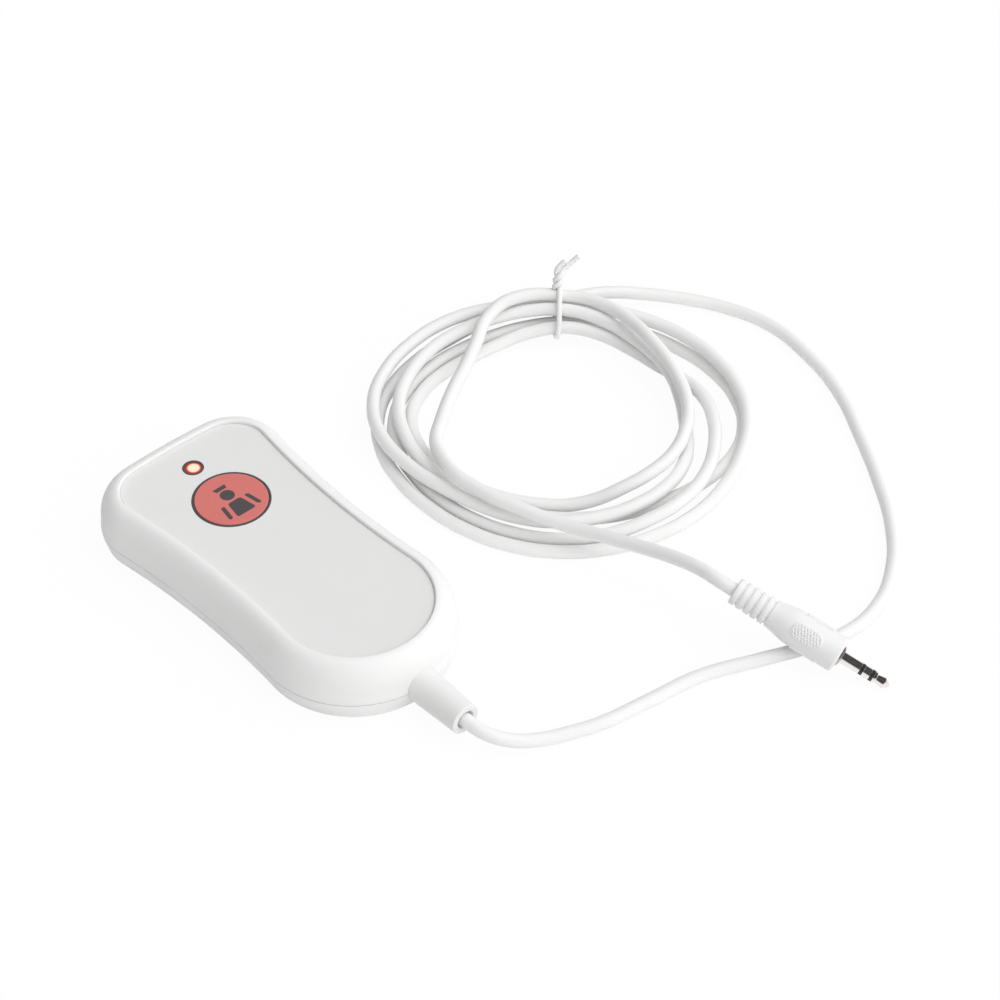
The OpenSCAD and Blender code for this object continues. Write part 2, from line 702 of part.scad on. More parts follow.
// Lamp
module lamp_lens() {
    color([0.9, 0.3, 0.2])
        translate([0, lamp_y, 0]) {
            translate([0, 0, lens_under_h])
                cylinder(h = face_h - lens_under_h, d = lens_d, $fn = 64);
            translate([0, 0, plate_h - flange_t])
                cylinder(h = flange_t, d = lens_d + 2 * lens_flange_w, $fn = 64);
        }
}
module lamp_bezel() {
    color([0.3, 0.32, 0.34])
        translate([0, lamp_y, plate_h])
            ring_solid(bezel_d, bezel_d - 2 * bezel_w, face_h + seal_rise - plate_h);
}
module lamp_led() {
    color("tomato")
        translate([0, lamp_y, board_h]) {
            cylinder(h = led_base_t, d = led_base_d, $fn = 48);
            cylinder(h = led_len - led_d / 2, d = led_d, $fn = 48);
            translate([0, 0, led_len - led_d / 2])
                sphere(d = led_d, $fn = 48);
        }
}

// Board and what it carries
module circuit_board() {
    color("seagreen")
        difference() {
            translate([0, board_y, board_h - board_t])
                rounded_plate(board_w, board_len, board_t, board_inset / 2);
            for (p = board_screw_places)
                translate([p.x, p.y, board_h - board_t - over])
                    cylinder(h = board_t + 2 * over, d = small_screw_d + 2 * screw_slack, $fn = 32);
        }
}
module board_screws() {
    color("silver")
        for (p = board_screw_places)
            translate([p.x, p.y, board_h - board_t])
                screw(small_screw_d, small_head_d, small_screw_len, small_head_t);
}
resistor_size = [3.2, 1.6, 0.6];
module resistors() {
    color([0.1, 0.1, 0.1])
        for (place = [[-0.5, 0.62], [0.5, 0.62], [-0.5, -0.35]])
            box_at([place.x * board_w / 2, board_y + place.y * board_len / 2, board_h],
                resistor_size);
}
module board_header() {
    color("ivory")
        difference() {
            box_at([0, header_y, board_h], header_size);
            for (i = [-1:1])
                translate([i * core_pitch, header_y - header_size.y, core_h])
                    rotate([-90, 0, 0])
                        cylinder(h = header_size.y, d = core_d, $fn = 24);
        }
}
module core_plug() {
    color("white")
        box_at([0, core_plug_y, board_h + core_plug_lift], core_plug_size);
}
module core_wires() {
    for (i = [-1:1])
        color(["firebrick", "white", "goldenrod"][i + 1])
            tube(concat(
                [[i * core_bundle_pitch, jacket_end_y, relief_h]],
                smooth_route([
                    [i * core_bundle_pitch, jacket_end_y + core_d, relief_h],
                    [i * (core_bundle_pitch + core_pitch) / 2, (jacket_end_y + core_exit_y) / 2,
                        (relief_h + core_h) / 2],
                    [i * core_pitch, core_exit_y - core_d, core_h]], 4),
                [[i * core_pitch, core_exit_y, core_h]]), core_d, 8);
}
module cord_clamp() {
    color("white")
        difference() {
            box_at([0, clamp_y, clamp_under_h], clamp_size);
            translate([0, clamp_y - clamp_size.y, relief_h])
                rotate([-90, 0, 0])
                    cylinder(h = 2 * clamp_size.y, d = cord_d + 2 * fit, $fn = 48);
            for (x = [-1, 1])
                translate([x * clamp_screw_x, clamp_y, 0])
                    cylinder(h = case_h, d = small_screw_d + 2 * screw_slack, $fn = 32);
        }
}
module clamp_screws() {
    color("silver")
        for (x = [-1, 1])
            translate([x * clamp_screw_x, clamp_y, clamp_under_h + clamp_size.z])
                mirror([0, 0, 1])
                    screw(small_screw_d, small_head_d, small_screw_len, small_head_t);
}

// Strain relief and cord
module strain_relief() {
    out = relief_len;
    inner = wall + fit;
    mouth_step = (relief_mouth_d - cord_d) / 2;
    color("whitesmoke")
        translate([0, case_tail_y, relief_h])
            rotate([90, 0, 0])
                rotate_extrude($fn = 64)
                    polygon([[cord_d / 2 + fit, -inner - relief_flange_t],
                        [relief_flange_d / 2, -inner - relief_flange_t],
                        [relief_flange_d / 2, -inner], [relief_neck_d / 2, -inner],
                        [relief_neck_d / 2, -relief_seat + fit],
                        [relief_base_d / 2, -relief_seat + fit], [relief_base_d / 2, wall / 2],
                        [relief_end_d / 2, out - edge_r], [relief_end_d / 2 - edge_r, out],
                        [relief_mouth_d / 2 + edge_r, out], [relief_mouth_d / 2, out - edge_r],
                        [relief_mouth_d / 2, out - relief_mouth_len],
                        [cord_d / 2 + fit, out - relief_mouth_len - mouth_step]]);
}
module cord_end() {
    color("white")
        translate([0, relief_end_y, relief_h])
            rotate([-90, 0, 0])
                cylinder(h = jacket_end_y - relief_end_y, d = cord_d, $fn = 48);
}
module cord_lead() {
    color("white")
        tube(lead_route, cord_d, free_sides, 180 / free_sides);
}
module cord_coil() {
    color("white")
        tube(coil_route, cord_d, coil_sides);
}
module cord_tail() {
    color("white")
        tube(tail_route, cord_d, free_sides, 180 / free_sides);
}
module coil_tie() {
    color("white")
        translate([coil_mid.x, coil_mid.y, 0])
            rotate([0, 0, tie_angle]) {
                rotate([90, 0, 0])
                    skin(tie_rings(tie_loop), loop = true);
                translate([twist_base[0], 0, twist_base[1]])
                    rotate([0, twist_lean, 0]) {
                        cylinder(h = twist_len, d = twist_d, $fn = 24);
                        for (turn = [long_end_turn, short_end_turn])
                            translate([0, 0, twist_len - tie_d / 2])
                                rotate(turn)
                                    cylinder(h = tie_end_len, d = tie_d, $fn = 24);
                    }
            }
}
// Rings across a flat loop
function tie_rings(route) =
    let (count = len(route))
    [for (i = [0:count - 1])
        let (along = unit(route[(i + 1) % count] - route[(i + count - 1) % count]),
            across = [along[1], -along[0]])
        [for (j = [0:tie_sides - 1]) let (a = -360 * j / tie_sides)
            [each route[i] + tie_d / 2 * cos(a) * across, tie_d / 2 * sin(a)]]];

// Plug, along its own middle line from the tip backwards
module on_plug(from = 0) {
    translate(plug_tip)
        rotate([0, 90 - plug_tilt, plug_heading + 180])
            translate([0, 0, from])
                children();
}
rod_d = 1;
tube_step = 0.5;
jack_tail_d = jack_d - 0.8 * tube_step;
core_step = 2.2;
core_len = 12;
module jack_tip() {
    neck_d = jack_d - tube_step;
    color("silver")
        on_plug()
            rotate_extrude($fn = 48)
                polygon([[0, 0], [jack_d / 8, 0], [jack_d / 2.2, tip_len * 0.3],
                    [jack_d / 2.1, tip_len * 0.36], [neck_d / 2.4, tip_len * 0.8],
                    [jack_d / 2, tip_len * 0.86], [jack_d / 2, tip_len], [rod_d / 2, tip_len],
                    [rod_d / 2, body_at + core_len / 2], [0, body_at + core_len / 2]]);
}
module jack_insulators() {
    color([0.12, 0.12, 0.13])
        for (i = [0:1]) {
            from = i == 0 ? tip_len : ring_at + ring_len;
            inner = rod_d + 2 * fit + i * 2 * tube_step;
            on_plug(from)
                ring_solid(jack_d, inner, insul_len);
            on_plug(from + insul_len)
                ring_solid(inner + tube_step - 2 * fit, inner,
                    body_at + core_len / 4 - from - insul_len);
        }
}
module jack_ring() {
    inner = rod_d + tube_step + 2 * fit;
    color("silver") {
        on_plug(ring_at)
            ring_solid(jack_d, inner, ring_len);
        on_plug(ring_at + ring_len)
            ring_solid(rod_d + 2 * tube_step - 2 * fit, inner,
                body_at + core_len / 3 - ring_at - ring_len);
    }
}
module jack_sleeve() {
    inner = rod_d + 3 * tube_step + 4 * fit;
    color("silver") {
        on_plug(sleeve_at)
            ring_solid(jack_d, inner, sleeve_len);
        on_plug(collar_at)
            ring_solid(jack_tail_d, inner, body_at + core_len / 4 - collar_at);
    }
}
module plug_collar() {
    color("silver")
        on_plug(collar_at)
            difference() {
                union() {
                    cylinder(h = collar_t, d = (collar_d + jack_d) / 2, $fn = 64);
                    translate([0, 0, collar_t / 3])
                        cylinder(h = 2 * collar_t / 3, d = collar_d, $fn = 64);
                }
                translate([0, 0, -over])
                    cylinder(h = collar_t + 2 * over, d = jack_tail_d + 2 * fit, $fn = 48);
            }
}
module plug_core() {
    color("ivory")
        on_plug(body_at)
            difference() {
                cylinder(h = core_len, d = jack_d + core_step, $fn = 48);
                translate([0, 0, -over])
                    cylinder(h = core_len / 2 + over + fit, d = jack_tail_d + 2 * fit, $fn = 48);
            }
}
module plug_body() {
    rib_pitch = boot_len / boot_ribs;
    rib_cut = 0.4;
    waist_at = plug_body_len - rib_pitch / 2;
    core_d_out = jack_d + core_step + 2 * fit;
    outside = concat(
        [[core_d_out / 2, 0], [plug_front_d / 2 - edge_r, 0], [plug_front_d / 2, edge_r],
            [plug_bulge_d / 2, plug_body_len * 0.58], [plug_bulge_d / 2 * 0.96, plug_body_len * 0.7],
            [(plug_bulge_d + boot_d) / 4, plug_body_len * 0.83], [boot_d / 2, waist_at]],
        [for (i = [0:boot_ribs - 1]) let (z = plug_body_len + i * rib_pitch) each [
            [boot_d / 2 - rib_cut, z], [boot_d / 2 - rib_cut, z + rib_pitch * 0.3],
            [boot_d / 2, z + rib_pitch * 0.45],
            [boot_d / 2, z + rib_pitch * (i == boot_ribs - 1 ? 1 : 0.85)]]],
        [[0, plug_body_len + boot_len], [0, core_len + fit], [core_d_out / 2, core_len + fit]]);
    color("white")
        on_plug(body_at)
            rotate_extrude($fn = 64)
                polygon(outside);
}

upper_shell();
lower_shell();
case_screws();
face_overlay();
overlay_adhesive();
call_button();
button_plunger();
button_seal();
switch_base();
switch_cover();
switch_dome();
switch_stem();
switch_pins();
lamp_lens();
lamp_bezel();
lamp_led();
circuit_board();
board_screws();
resistors();
board_header();
core_plug();
core_wires();
cord_clamp();
clamp_screws();
strain_relief();
cord_end();
cord_lead();
cord_coil();
cord_tail();
coil_tie();
plug_body();
plug_core();
plug_collar();
jack_sleeve();
jack_ring();
jack_tip();
jack_insulators();
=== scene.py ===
import math

import bmesh
import bpy
from mathutils import Matrix, Vector


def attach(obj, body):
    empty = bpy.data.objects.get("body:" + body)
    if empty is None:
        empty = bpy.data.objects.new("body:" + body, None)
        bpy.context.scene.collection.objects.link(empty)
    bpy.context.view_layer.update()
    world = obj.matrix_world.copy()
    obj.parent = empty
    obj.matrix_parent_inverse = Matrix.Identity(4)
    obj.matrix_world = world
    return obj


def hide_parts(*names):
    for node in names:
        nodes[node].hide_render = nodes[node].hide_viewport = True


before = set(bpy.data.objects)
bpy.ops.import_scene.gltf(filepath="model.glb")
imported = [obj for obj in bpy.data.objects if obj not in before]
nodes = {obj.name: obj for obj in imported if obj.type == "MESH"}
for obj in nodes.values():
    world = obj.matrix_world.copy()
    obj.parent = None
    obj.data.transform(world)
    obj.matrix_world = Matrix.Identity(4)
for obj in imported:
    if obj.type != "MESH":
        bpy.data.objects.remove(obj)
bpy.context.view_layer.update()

MM = 0.001
scene = bpy.context.scene


# ---------------------------------------------------------------- materials
# A maths node in a shader's tree; each value is a number or another node's output.
def maths(tree, operation, *values):
    node = tree.nodes.new("ShaderNodeMath")
    node.operation = operation
    for socket, value in zip(node.inputs, values):
        if isinstance(value, (int, float)):
            socket.default_value = value
        else:
            tree.links.new(value, socket)
    return node.outputs[0]


CLOUD_SCALE, ROUGHNESS_SPREAD, GRAIN_STRENGTH = 90, 0.25, 0.6


# Grain of a moulded surface: a fine cell pattern for the height, and slow clouds that shift
# the colour and the roughness a little. Scale is cells per metre.
def moulded_group():
    g = bpy.data.node_groups.new("moulded", "ShaderNodeTree")
    for name, kind, value in (("Color", "NodeSocketColor", (1, 1, 1, 1)),
                              ("Roughness", "NodeSocketFloat", 0.5),
                              ("Scale", "NodeSocketFloat", 5000.0),
                              ("Tone", "NodeSocketFloat", 0.03)):
        g.interface.new_socket(name, in_out="INPUT", socket_type=kind).default_value = value
    for name, kind in (("Color", "NodeSocketColor"), ("Roughness", "NodeSocketFloat"),
                       ("Height", "NodeSocketFloat")):
        g.interface.new_socket(name, in_out="OUTPUT", socket_type=kind)
    n, links = g.nodes, g.links
    given, out = n.new("NodeGroupInput"), n.new("NodeGroupOutput")
    place = n.new("ShaderNodeTexCoord")
    fine = n.new("ShaderNodeTexNoise")
    fine.inputs["Detail"].default_value = 3
    fine.inputs["Roughness"].default_value = 0.6
    clouds = n.new("ShaderNodeTexNoise")
    clouds.inputs["Scale"].default_value = CLOUD_SCALE
    clouds.inputs["Detail"].default_value = 2
    for tex in (fine, clouds):
        links.new(place.outputs["Object"], tex.inputs["Vector"])
    links.new(given.outputs["Scale"], fine.inputs["Scale"])
    both = maths(g, "ADD", fine.outputs["Fac"], clouds.outputs["Fac"])
    centred = maths(g, "SUBTRACT", both, 1.0)
    shade = maths(g, "MULTIPLY_ADD", centred, given.outputs["Tone"], 1.0)
    tint = n.new("ShaderNodeVectorMath")
    tint.operation = "SCALE"
    links.new(given.outputs["Color"], tint.inputs[0])
    links.new(shade, tint.inputs["Scale"])
    rough = maths(g, "MULTIPLY_ADD", centred, ROUGHNESS_SPREAD, given.outputs["Roughness"])
    links.new(tint.outputs[0], out.inputs["Color"])
    links.new(rough, out.inputs["Roughness"])
    links.new(fine.outputs["Fac"], out.inputs["Height"])
    return g


MOULDED = moulded_group()


# A material whose colour, roughness and grain come from the group. Values that are the same
# all over stand on the shader's own sockets.
def material(name, colour, roughness, scale=5000, tone=0.03, depth=0.01, **sockets):
    m = bpy.data.materials.new(name)
    m.use_nodes = True
    n, links = m.node_tree.nodes, m.node_tree.links
    shader = n["Principled BSDF"]
    grain = n.new("ShaderNodeGroup")
    grain.node_tree = MOULDED
    grain.name = "grain"
    grain.inputs["Color"].default_value = (*colour, 1)
    grain.inputs["Roughness"].default_value = roughness
    grain.inputs["Scale"].default_value = scale
    grain.inputs["Tone"].default_value = tone
    bump = n.new("ShaderNodeBump")
    bump.inputs["Strength"].default_value = GRAIN_STRENGTH
    bump.inputs["Distance"].default_value = depth * MM
    links.new(grain.outputs["Color"], shader.inputs["Base Color"])
    links.new(grain.outputs["Roughness"], shader.inputs["Roughness"])
    links.new(grain.outputs["Height"], bump.inputs["Height"])
    links.new(bump.outputs["Normal"], shader.inputs["Normal"])
    for key, value in sockets.items():
        shader.inputs[key.replace("_", " ")].default_value = value
    return m


CASE = material("case_white", (0.87, 0.87, 0.865), 0.48, 4200, 0.012, 0.012)
SLEEVE = material("sleeve_white", (0.81, 0.81, 0.805), 0.52, 3600, 0.014, 0.012)
FILM = material("film_grey", (0.79, 0.79, 0.785), 0.42, 7000, 0.02, 0.006)
RING = material("ring_dark", (0.075, 0.09, 0.1), 0.45, 6000, 0.08, 0.01)
CORD = material("cord_jacket", (0.86, 0.86, 0.855), 0.42, 2600, 0.012, 0.01)
PLUG = material("plug_white", (0.83, 0.83, 0.83), 0.45, 4200, 0.012, 0.01)
TIE = material("tie_coating", (0.88, 0.88, 0.88), 0.3, 3000, 0.012, 0.006)
NICKEL = material("nickel", (0.86, 0.83, 0.82), 0.12, 1800, 0.02, 0.001, Metallic=1.0)
COLLAR = material("collar_nickel", (0.58, 0.54, 0.52), 0.3, 1800, 0.03, 0.001, Metallic=1.0)
BLACK = material("black_moulding", (0.025, 0.025, 0.03), 0.4, 6000, 0.1, 0.004)
STEEL = material("zinc_steel", (0.62, 0.62, 0.63), 0.32, 2400, 0.06, 0.003, Metallic=1.0)
BOARD = material("solder_mask", (0.03, 0.2, 0.09), 0.3, 900, 0.2, 0.01)
IVORY = material("natural_moulding", (0.7, 0.67, 0.58), 0.45, 4000, 0.04, 0.008)
GLUE = material("adhesive", (0.68, 0.64, 0.52), 0.35, 1500, 0.1, 0.02)
LED = material("led_epoxy", (0.7, 0.1, 0.05), 0.2, 2500, 0.04, 0.001)
CORE = material("core_insulation", (0.5, 0.1, 0.07), 0.4, 3000, 0.05, 0.004)


# ---------------------------------------------------------------- mesh helpers
def smooth_faces(me, sharp=35):
    for p in me.polygons:
        p.use_smooth = True
    me.set_sharp_from_angle(angle=math.radians(sharp))


def finish_mesh(bm, name, mat, sharp=35):
    bmesh.ops.recalc_face_normals(bm, faces=bm.faces)
    me = bpy.data.meshes.new(name)
    bm.to_mesh(me)
    bm.free()
    smooth_faces(me, sharp)
    me.materials.append(mat)
    obj = bpy.data.objects.new(name, me)
    scene.collection.objects.link(obj)
    return obj


# A point in metres, from a radius, a turn and a height in millimetres round an axis at y
def polar(r, turn, h, y=0):
    return (r * math.cos(turn) * MM, (y + r * math.sin(turn)) * MM, h * MM)


def full_turn(sides):
    return [2 * math.pi * j / sides for j in range(sides)]


# Adds closed rings of as many points each, joined by quads and closed by flat caps
def add_rings(bm, rings, place=None):
    made = [[bm.verts.new(place @ Vector(q) if place else q) for q in ring] for ring in rings]
    count = len(made[0])
    for a, b in zip(made, made[1:]):
        for j in range(count):
            k = (j + 1) % count
            bm.faces.new((a[j], a[k], b[k], b[j]))
    bm.faces.new(made[0])
    bm.faces.new(made[-1])


# Adds a turned solid: profile is (radius, height) pairs; a radius of 0 is a point on the axis
def add_turned(bm, profile, sides=96, place=None):
    place = place or Matrix.Identity(4)
    rings = []
    for r, h in profile:
        if r == 0:
            rings.append([bm.verts.new(place @ Vector((0, 0, h)))])
            continue
        rings.append([bm.verts.new(place @ Vector((r * math.cos(t), r * math.sin(t), h)))
                      for t in full_turn(sides)])
    for a, b in zip(rings, rings[1:]):
        if len(a) == 1 and len(b) == 1:
            continue
        for j in range(sides):
            k = (j + 1) % sides
            if len(a) == 1:
                bm.faces.new((a[0], b[k], b[j]))
            elif len(b) == 1:
                bm.faces.new((a[j], a[k], b[0]))
            else:
                bm.faces.new((a[j], a[k], b[k], b[j]))


def closed_turned(bm, profile, sides=96, place=None):
    add_turned(bm, list(profile) + [profile[0]], sides, place)
    bmesh.ops.remove_doubles(bm, verts=bm.verts, dist=1e-7)


def round_corner(mid, radius, start, end, steps=4):
    return [(mid[0] + radius * math.cos(math.radians(start + (end - start) * i / steps)),
             mid[1] + radius * math.sin(math.radians(start + (end - start) * i / steps)))
            for i in range(steps + 1)]


def add_cylinder(bm, mid, radius, height, sides=64, axis="Z"):
    turn = Matrix.Rotation(math.radians(-90), 4, "X") if axis == "Y" else Matrix.Identity(4)
    add_turned(bm, [(0, 0), (radius, 0), (radius, height), (0, height)], sides,
               Matrix.Translation(mid) @ turn)


# Cuts or joins closed shapes, drawn by draw(bm), to obj
def boolean(obj, operation, draw):
    bm = bmesh.new()
    draw(bm)
    bmesh.ops.recalc_face_normals(bm, faces=bm.faces)
    me = bpy.data.meshes.new("cutter")
    bm.to_mesh(me)
    bm.free()
    cutter = bpy.data.objects.new("cutter", me)
    scene.collection.objects.link(cutter)
    mod = obj.modifiers.new("shape", "BOOLEAN")
    mod.operation, mod.object, mod.solver = operation, cutter, "EXACT"
    mod.use_self = True
    graph = bpy.context.evaluated_depsgraph_get()
    cut = bpy.data.meshes.new_from_object(obj.evaluated_get(graph))
    obj.modifiers.clear()
    obj.data = cut
    smooth_faces(cut)
    bpy.data.objects.remove(cutter)


def dress(obj, slot, *replaced, body="handset"):
    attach(obj, body)
    if replaced:
        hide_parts(*replaced)
    return obj


# CAD nodes that keep their own shape get a material
def carry(mat, *names):
    for name in names:
        slots = nodes[name].material_slots
        if not slots:
            nodes[name].data.materials.append(mat)
        for s in slots:
            s.material = mat


# ---------------------------------------------------------------- outline of the face
HEAD_Y, TAIL_Y = 52.75, -52.75
WAIST_R, CORNER_R, HEAD_R = 290, 10.7, 214
WAIST_MID = (21.1 + WAIST_R, -2.2)
HEAD_MID = (0, HEAD_Y - HEAD_R)


# Where two circles, each a middle and a radius, cross
def circle_meet(a, ra, b, rb):
    gap = math.dist(a, b)
    u = ((b[0] - a[0]) / gap, (b[1] - a[1]) / gap)
    x = (gap * gap + ra * ra - rb * rb) / (2 * gap)
    y = math.sqrt(ra * ra - x * x)
    return (a[0] + x * u[0] - y * u[1], a[1] + x * u[1] + y * u[0])


def angle_to(a, b):
    return math.degrees(math.atan2(b[1] - a[1], b[0] - a[0]))


CORNER_MID = circle_meet(HEAD_MID, HEAD_R - CORNER_R, WAIST_MID, WAIST_R + CORNER_R)
UP = WAIST_MID[1] - TAIL_Y
TAIL_R = (WAIST_MID[0] ** 2 + UP ** 2 - WAIST_R ** 2) / (2 * (WAIST_R + UP))
TAIL_MID = (0, TAIL_Y + TAIL_R)


# The face's outline moved outwards by out, as a ring of points at height h
def outline(out, h):
    tail, corner = angle_to(TAIL_MID, WAIST_MID), angle_to(CORNER_MID, WAIST_MID)
    head = angle_to(HEAD_MID, CORNER_MID)
    half = (round_corner(TAIL_MID, TAIL_R + out, -90, tail, 44)
            + round_corner(WAIST_MID, WAIST_R - out, tail + 180, corner + 180, 26)[1:]
            + round_corner(CORNER_MID, CORNER_R + out, corner, head, 30)[1:]
            + round_corner(HEAD_MID, HEAD_R + out, head, 90, 12)[1:])
    whole = half + [(-x, y) for x, y in reversed(half[1:-1])]
    return [(x * MM, y * MM, h * MM) for x, y in whole]


# Part of an ellipse as (outwards, height) pairs
def ellipse(mid_out, mid_h, out_r, h_r, start, end, steps):
    return [(mid_out + out_r * math.cos(math.radians(start + (end - start) * i / steps)),
             mid_h + h_r * math.sin(math.radians(start + (end - start) * i / steps)))
            for i in range(steps + 1)]


# ---------------------------------------------------------------- upper_shell
# Satin white moulding. The rim stands 0.95 mm above the recessed face, the side leans out to
# the widest line, and a rebate inside takes the lower shell's lip.
FACE_H, RECESS_H, PLATE_H, CASE_OUT, SPLIT_H = 18.8, 18.45, 16.45, 6.65, 6.8
BUTTON_Y, LAMP_Y, CASE_TAIL_Y = 24.35, 42.35, -59.4
RELIEF_H = 7.1
BOSSES = [(21.5, 29.95), (-21.5, 29.95), (16, -36.25), (-16, -36.25)]
BOSS_R, BOSS_BORE_R, BUTTON_HOLE_R, LAMP_HOLE_R = 2.9, 1.47, 11.57, 3.22
# Bores that seat the sleeve: how far in from the tail each starts, its radius, its length
SOCKET = [(-1, 5.27, 2.1), (0.5, 4.22, 2.9), (2.2, 5.1, 3)]


# The side's offset on its way down to the widest line
def lean(t):
    return 6.3 + 0.35 * (3 - 2 * t) * t * t


def socket(bm):
    for start, r, length in SOCKET:
        add_cylinder(bm, (0, (CASE_TAIL_Y + start) * MM, RELIEF_H * MM), r * MM, length * MM, 64,
                     "Y")


profile = ([(-0.12, RECESS_H), (-0.12, FACE_H - 0.15), (0, FACE_H - 0.14)]
           + ellipse(0.6, FACE_H, -0.6, 0.95, 0, 90, 10)
           + ellipse(0.6, 10.6, 5.7, 9.15, 84, 0, 30)
           + [(lean(i / 8), 10.6 - 3.4 * i / 8) for i in range(1, 9)]
           + [(CASE_OUT, 7.15)] + round_corner((6.5, 7.05), 0.15, 0, -90, 4)
           + [(6.1, 6.9), (6.1, SPLIT_H), (5.55, SPLIT_H), (5.55, 8.4), (4.45, 8.4)]
           + ellipse(0, 10.6, 4.45, PLATE_H - 10.6, 0, 90, 10))
bm = bmesh.new()
add_rings(bm, [outline(o, h) for o, h in profile])
upper = finish_mesh(bm, "upper_shell_moulding", CASE)


def upper_bosses(bm):
    for x, y in BOSSES:
        add_cylinder(bm, (x * MM, y * MM, SPLIT_H * MM), BOSS_R * MM, 10.6 * MM, 32)


def upper_holes(bm):
    add_cylinder(bm, (0, BUTTON_Y * MM, 15 * MM), BUTTON_HOLE_R * MM, 5 * MM, 128)
    add_cylinder(bm, (0, LAMP_Y * MM, 15 * MM), LAMP_HOLE_R * MM, 5 * MM, 64)
    for x, y in BOSSES:
        add_cylinder(bm, (x * MM, y * MM, 5 * MM), BOSS_BORE_R * MM, 8 * MM, 32)
    socket(bm)


boolean(upper, "UNION", upper_bosses)
boolean(upper, "DIFFERENCE", upper_holes)
dress(upper, "white_case", "upper_shell")

# ---------------------------------------------------------------- lower_shell
# Satin white tray with a lip round its top edge, posts for the case screws and counterbored
# holes in its flat underside. A 0.3 mm slot shows at the parting line.
POST_R, COUNTERBORE_R, SCREW_WAY_R = 3.8, 2.85, 1.6
profile = ([(2.45, 2), (3.45, 3), (4.45, SPLIT_H), (4.45, 8.3), (5.45, 8.3), (5.45, SPLIT_H),
            (6.1, SPLIT_H), (6.1, 6.6)]
           + round_corner((6.43, 6.45), 0.15, 90, 12, 4)
           + [(6.6 - 0.95 * (i / 8) ** 1.4, 6.55 - 4.25 * i / 8) for i in range(1, 8)]
           + ellipse(3.35, 2.3, 2.3, -2.3, 0, 90, 16))
bm = bmesh.new()
add_rings(bm, [outline(o, h) for o, h in profile])
lower = finish_mesh(bm, "lower_shell_moulding", CASE)


def lower_posts(bm):
    for x, y in BOSSES:
        add_cylinder(bm, (x * MM, y * MM, 1 * MM), POST_R * MM, 5.8 * MM, 48)


def lower_holes(bm):
    for x, y in BOSSES:
        add_cylinder(bm, (x * MM, y * MM, -1 * MM), COUNTERBORE_R * MM, 4.4 * MM, 64)
        add_cylinder(bm, (x * MM, y * MM, 3 * MM), SCREW_WAY_R * MM, 6 * MM, 32)
    socket(bm)


boolean(lower, "UNION", lower_posts)
boolean(lower, "DIFFERENCE", lower_holes)
dress(lower, "white_case", "lower_shell")

# ---------------------------------------------------------------- case_screws
# Zinc-plated pan heads with a cross recess, deep in the counterbores.
bm = bmesh.new()
for x, y in BOSSES:
    place = Matrix.Translation((x * MM, y * MM, 3.4 * MM))
    add_turned(bm, [(q[0] * MM, q[1] * MM) for q in
                    [(0, 9.5), (1, 9.5), (1.45, 8.6), (1.45, 0), (2.7, 0), (2.7, -0.9)]
                    + ellipse(0, -0.9, 2.7, -0.9, 0, 70, 6)[1:] + [(0, -1.8)]], 48, place)
screws = finish_mesh(bm, "case_screws_cross", STEEL)


def cross_recess(bm):
    for x, y in BOSSES:
        for w, l in ((0.55, 2.9), (2.9, 0.55)):
            box = bmesh.ops.create_cube(bm, size=1)["verts"]
            bmesh.ops.scale(bm, vec=(w * MM, l * MM, 1.6 * MM), verts=box)
            bmesh.ops.translate(bm, vec=(x * MM, y * MM, 1.7 * MM), verts=box)


boolean(screws, "DIFFERENCE", cross_recess)
dress(screws, "steel", "case_screws")

# ---------------------------------------------------------------- face_overlay and adhesive
# Polyester film, glued into the recess. Both keep the CAD's own shape.
carry(FILM, "face_overlay")
carry(GLUE, "overlay_adhesive")

# ---------------------------------------------------------------- call_button
# Moulded cap under a red printed film with raised touch marks. The figure in the middle is
# a plain nurse sign of this script's own drawing, printed dark grey.
MARKS = [(-5, 3.4), (-8, 0.5), (-7.7, -2.3), (-1.1, 3.5), (1.7, 1), (-1.1, -2.1), (8.2, 3.3),
         (5.4, 0.5), (5.6, -2)]
CAP_TOP, CAP_R, CAP_EDGE_R, CAP_RINGS = 19.1, 10.75, 0.3, 80
MARK_R, MARK_RISE, MARK_MOAT = 0.85, 0.07, 0.02


def cap_height(x, y):
    h = CAP_TOP
    for mx, my in MARKS:
        d = math.hypot(x - mx, y - my) / MARK_R
        if d < 1:
            h += MARK_RISE * (1 - d * d) ** 2
        elif d < 1.25:
            h -= MARK_MOAT * (1 - abs(d - 1.12) / 0.13)
    return h


bm = bmesh.new()
turns = full_turn(180)
rings = [[bm.verts.new((0, BUTTON_Y * MM, cap_height(0, 0) * MM))]]
for i in range(1, CAP_RINGS + 1):
    r = (CAP_R - CAP_EDGE_R) * i / CAP_RINGS
    rings.append([bm.verts.new(polar(r, t, cap_height(r * math.cos(t), r * math.sin(t)), BUTTON_Y))
                  for t in turns])
for r, h in (round_corner((CAP_R - CAP_EDGE_R, CAP_TOP - CAP_EDGE_R), CAP_EDGE_R, 75, 0, 5)
             + [(CAP_R, 16.35), (12.6, 16.35), (12.6, 15.25), (9.25, 15.25), (9.25, 17.5)]):
    rings.append([bm.verts.new(polar(r, t, h, BUTTON_Y)) for t in turns])
for a, b in zip(rings, rings[1:]):
    for j in range(len(turns)):
        k = (j + 1) % len(turns)
        bm.faces.new((a[0], b[j], b[k]) if len(a) == 1 else (a[j], b[j], b[k], a[k]))
bm.faces.new(rings[-1])
RED = material("red_print", (0.70, 0.195, 0.175), 0.36, 6500, 0.03, 0.005)
cap = finish_mesh(bm, "call_button_cap", RED, 50)
dress(cap, "red_button", "call_button", body="button")


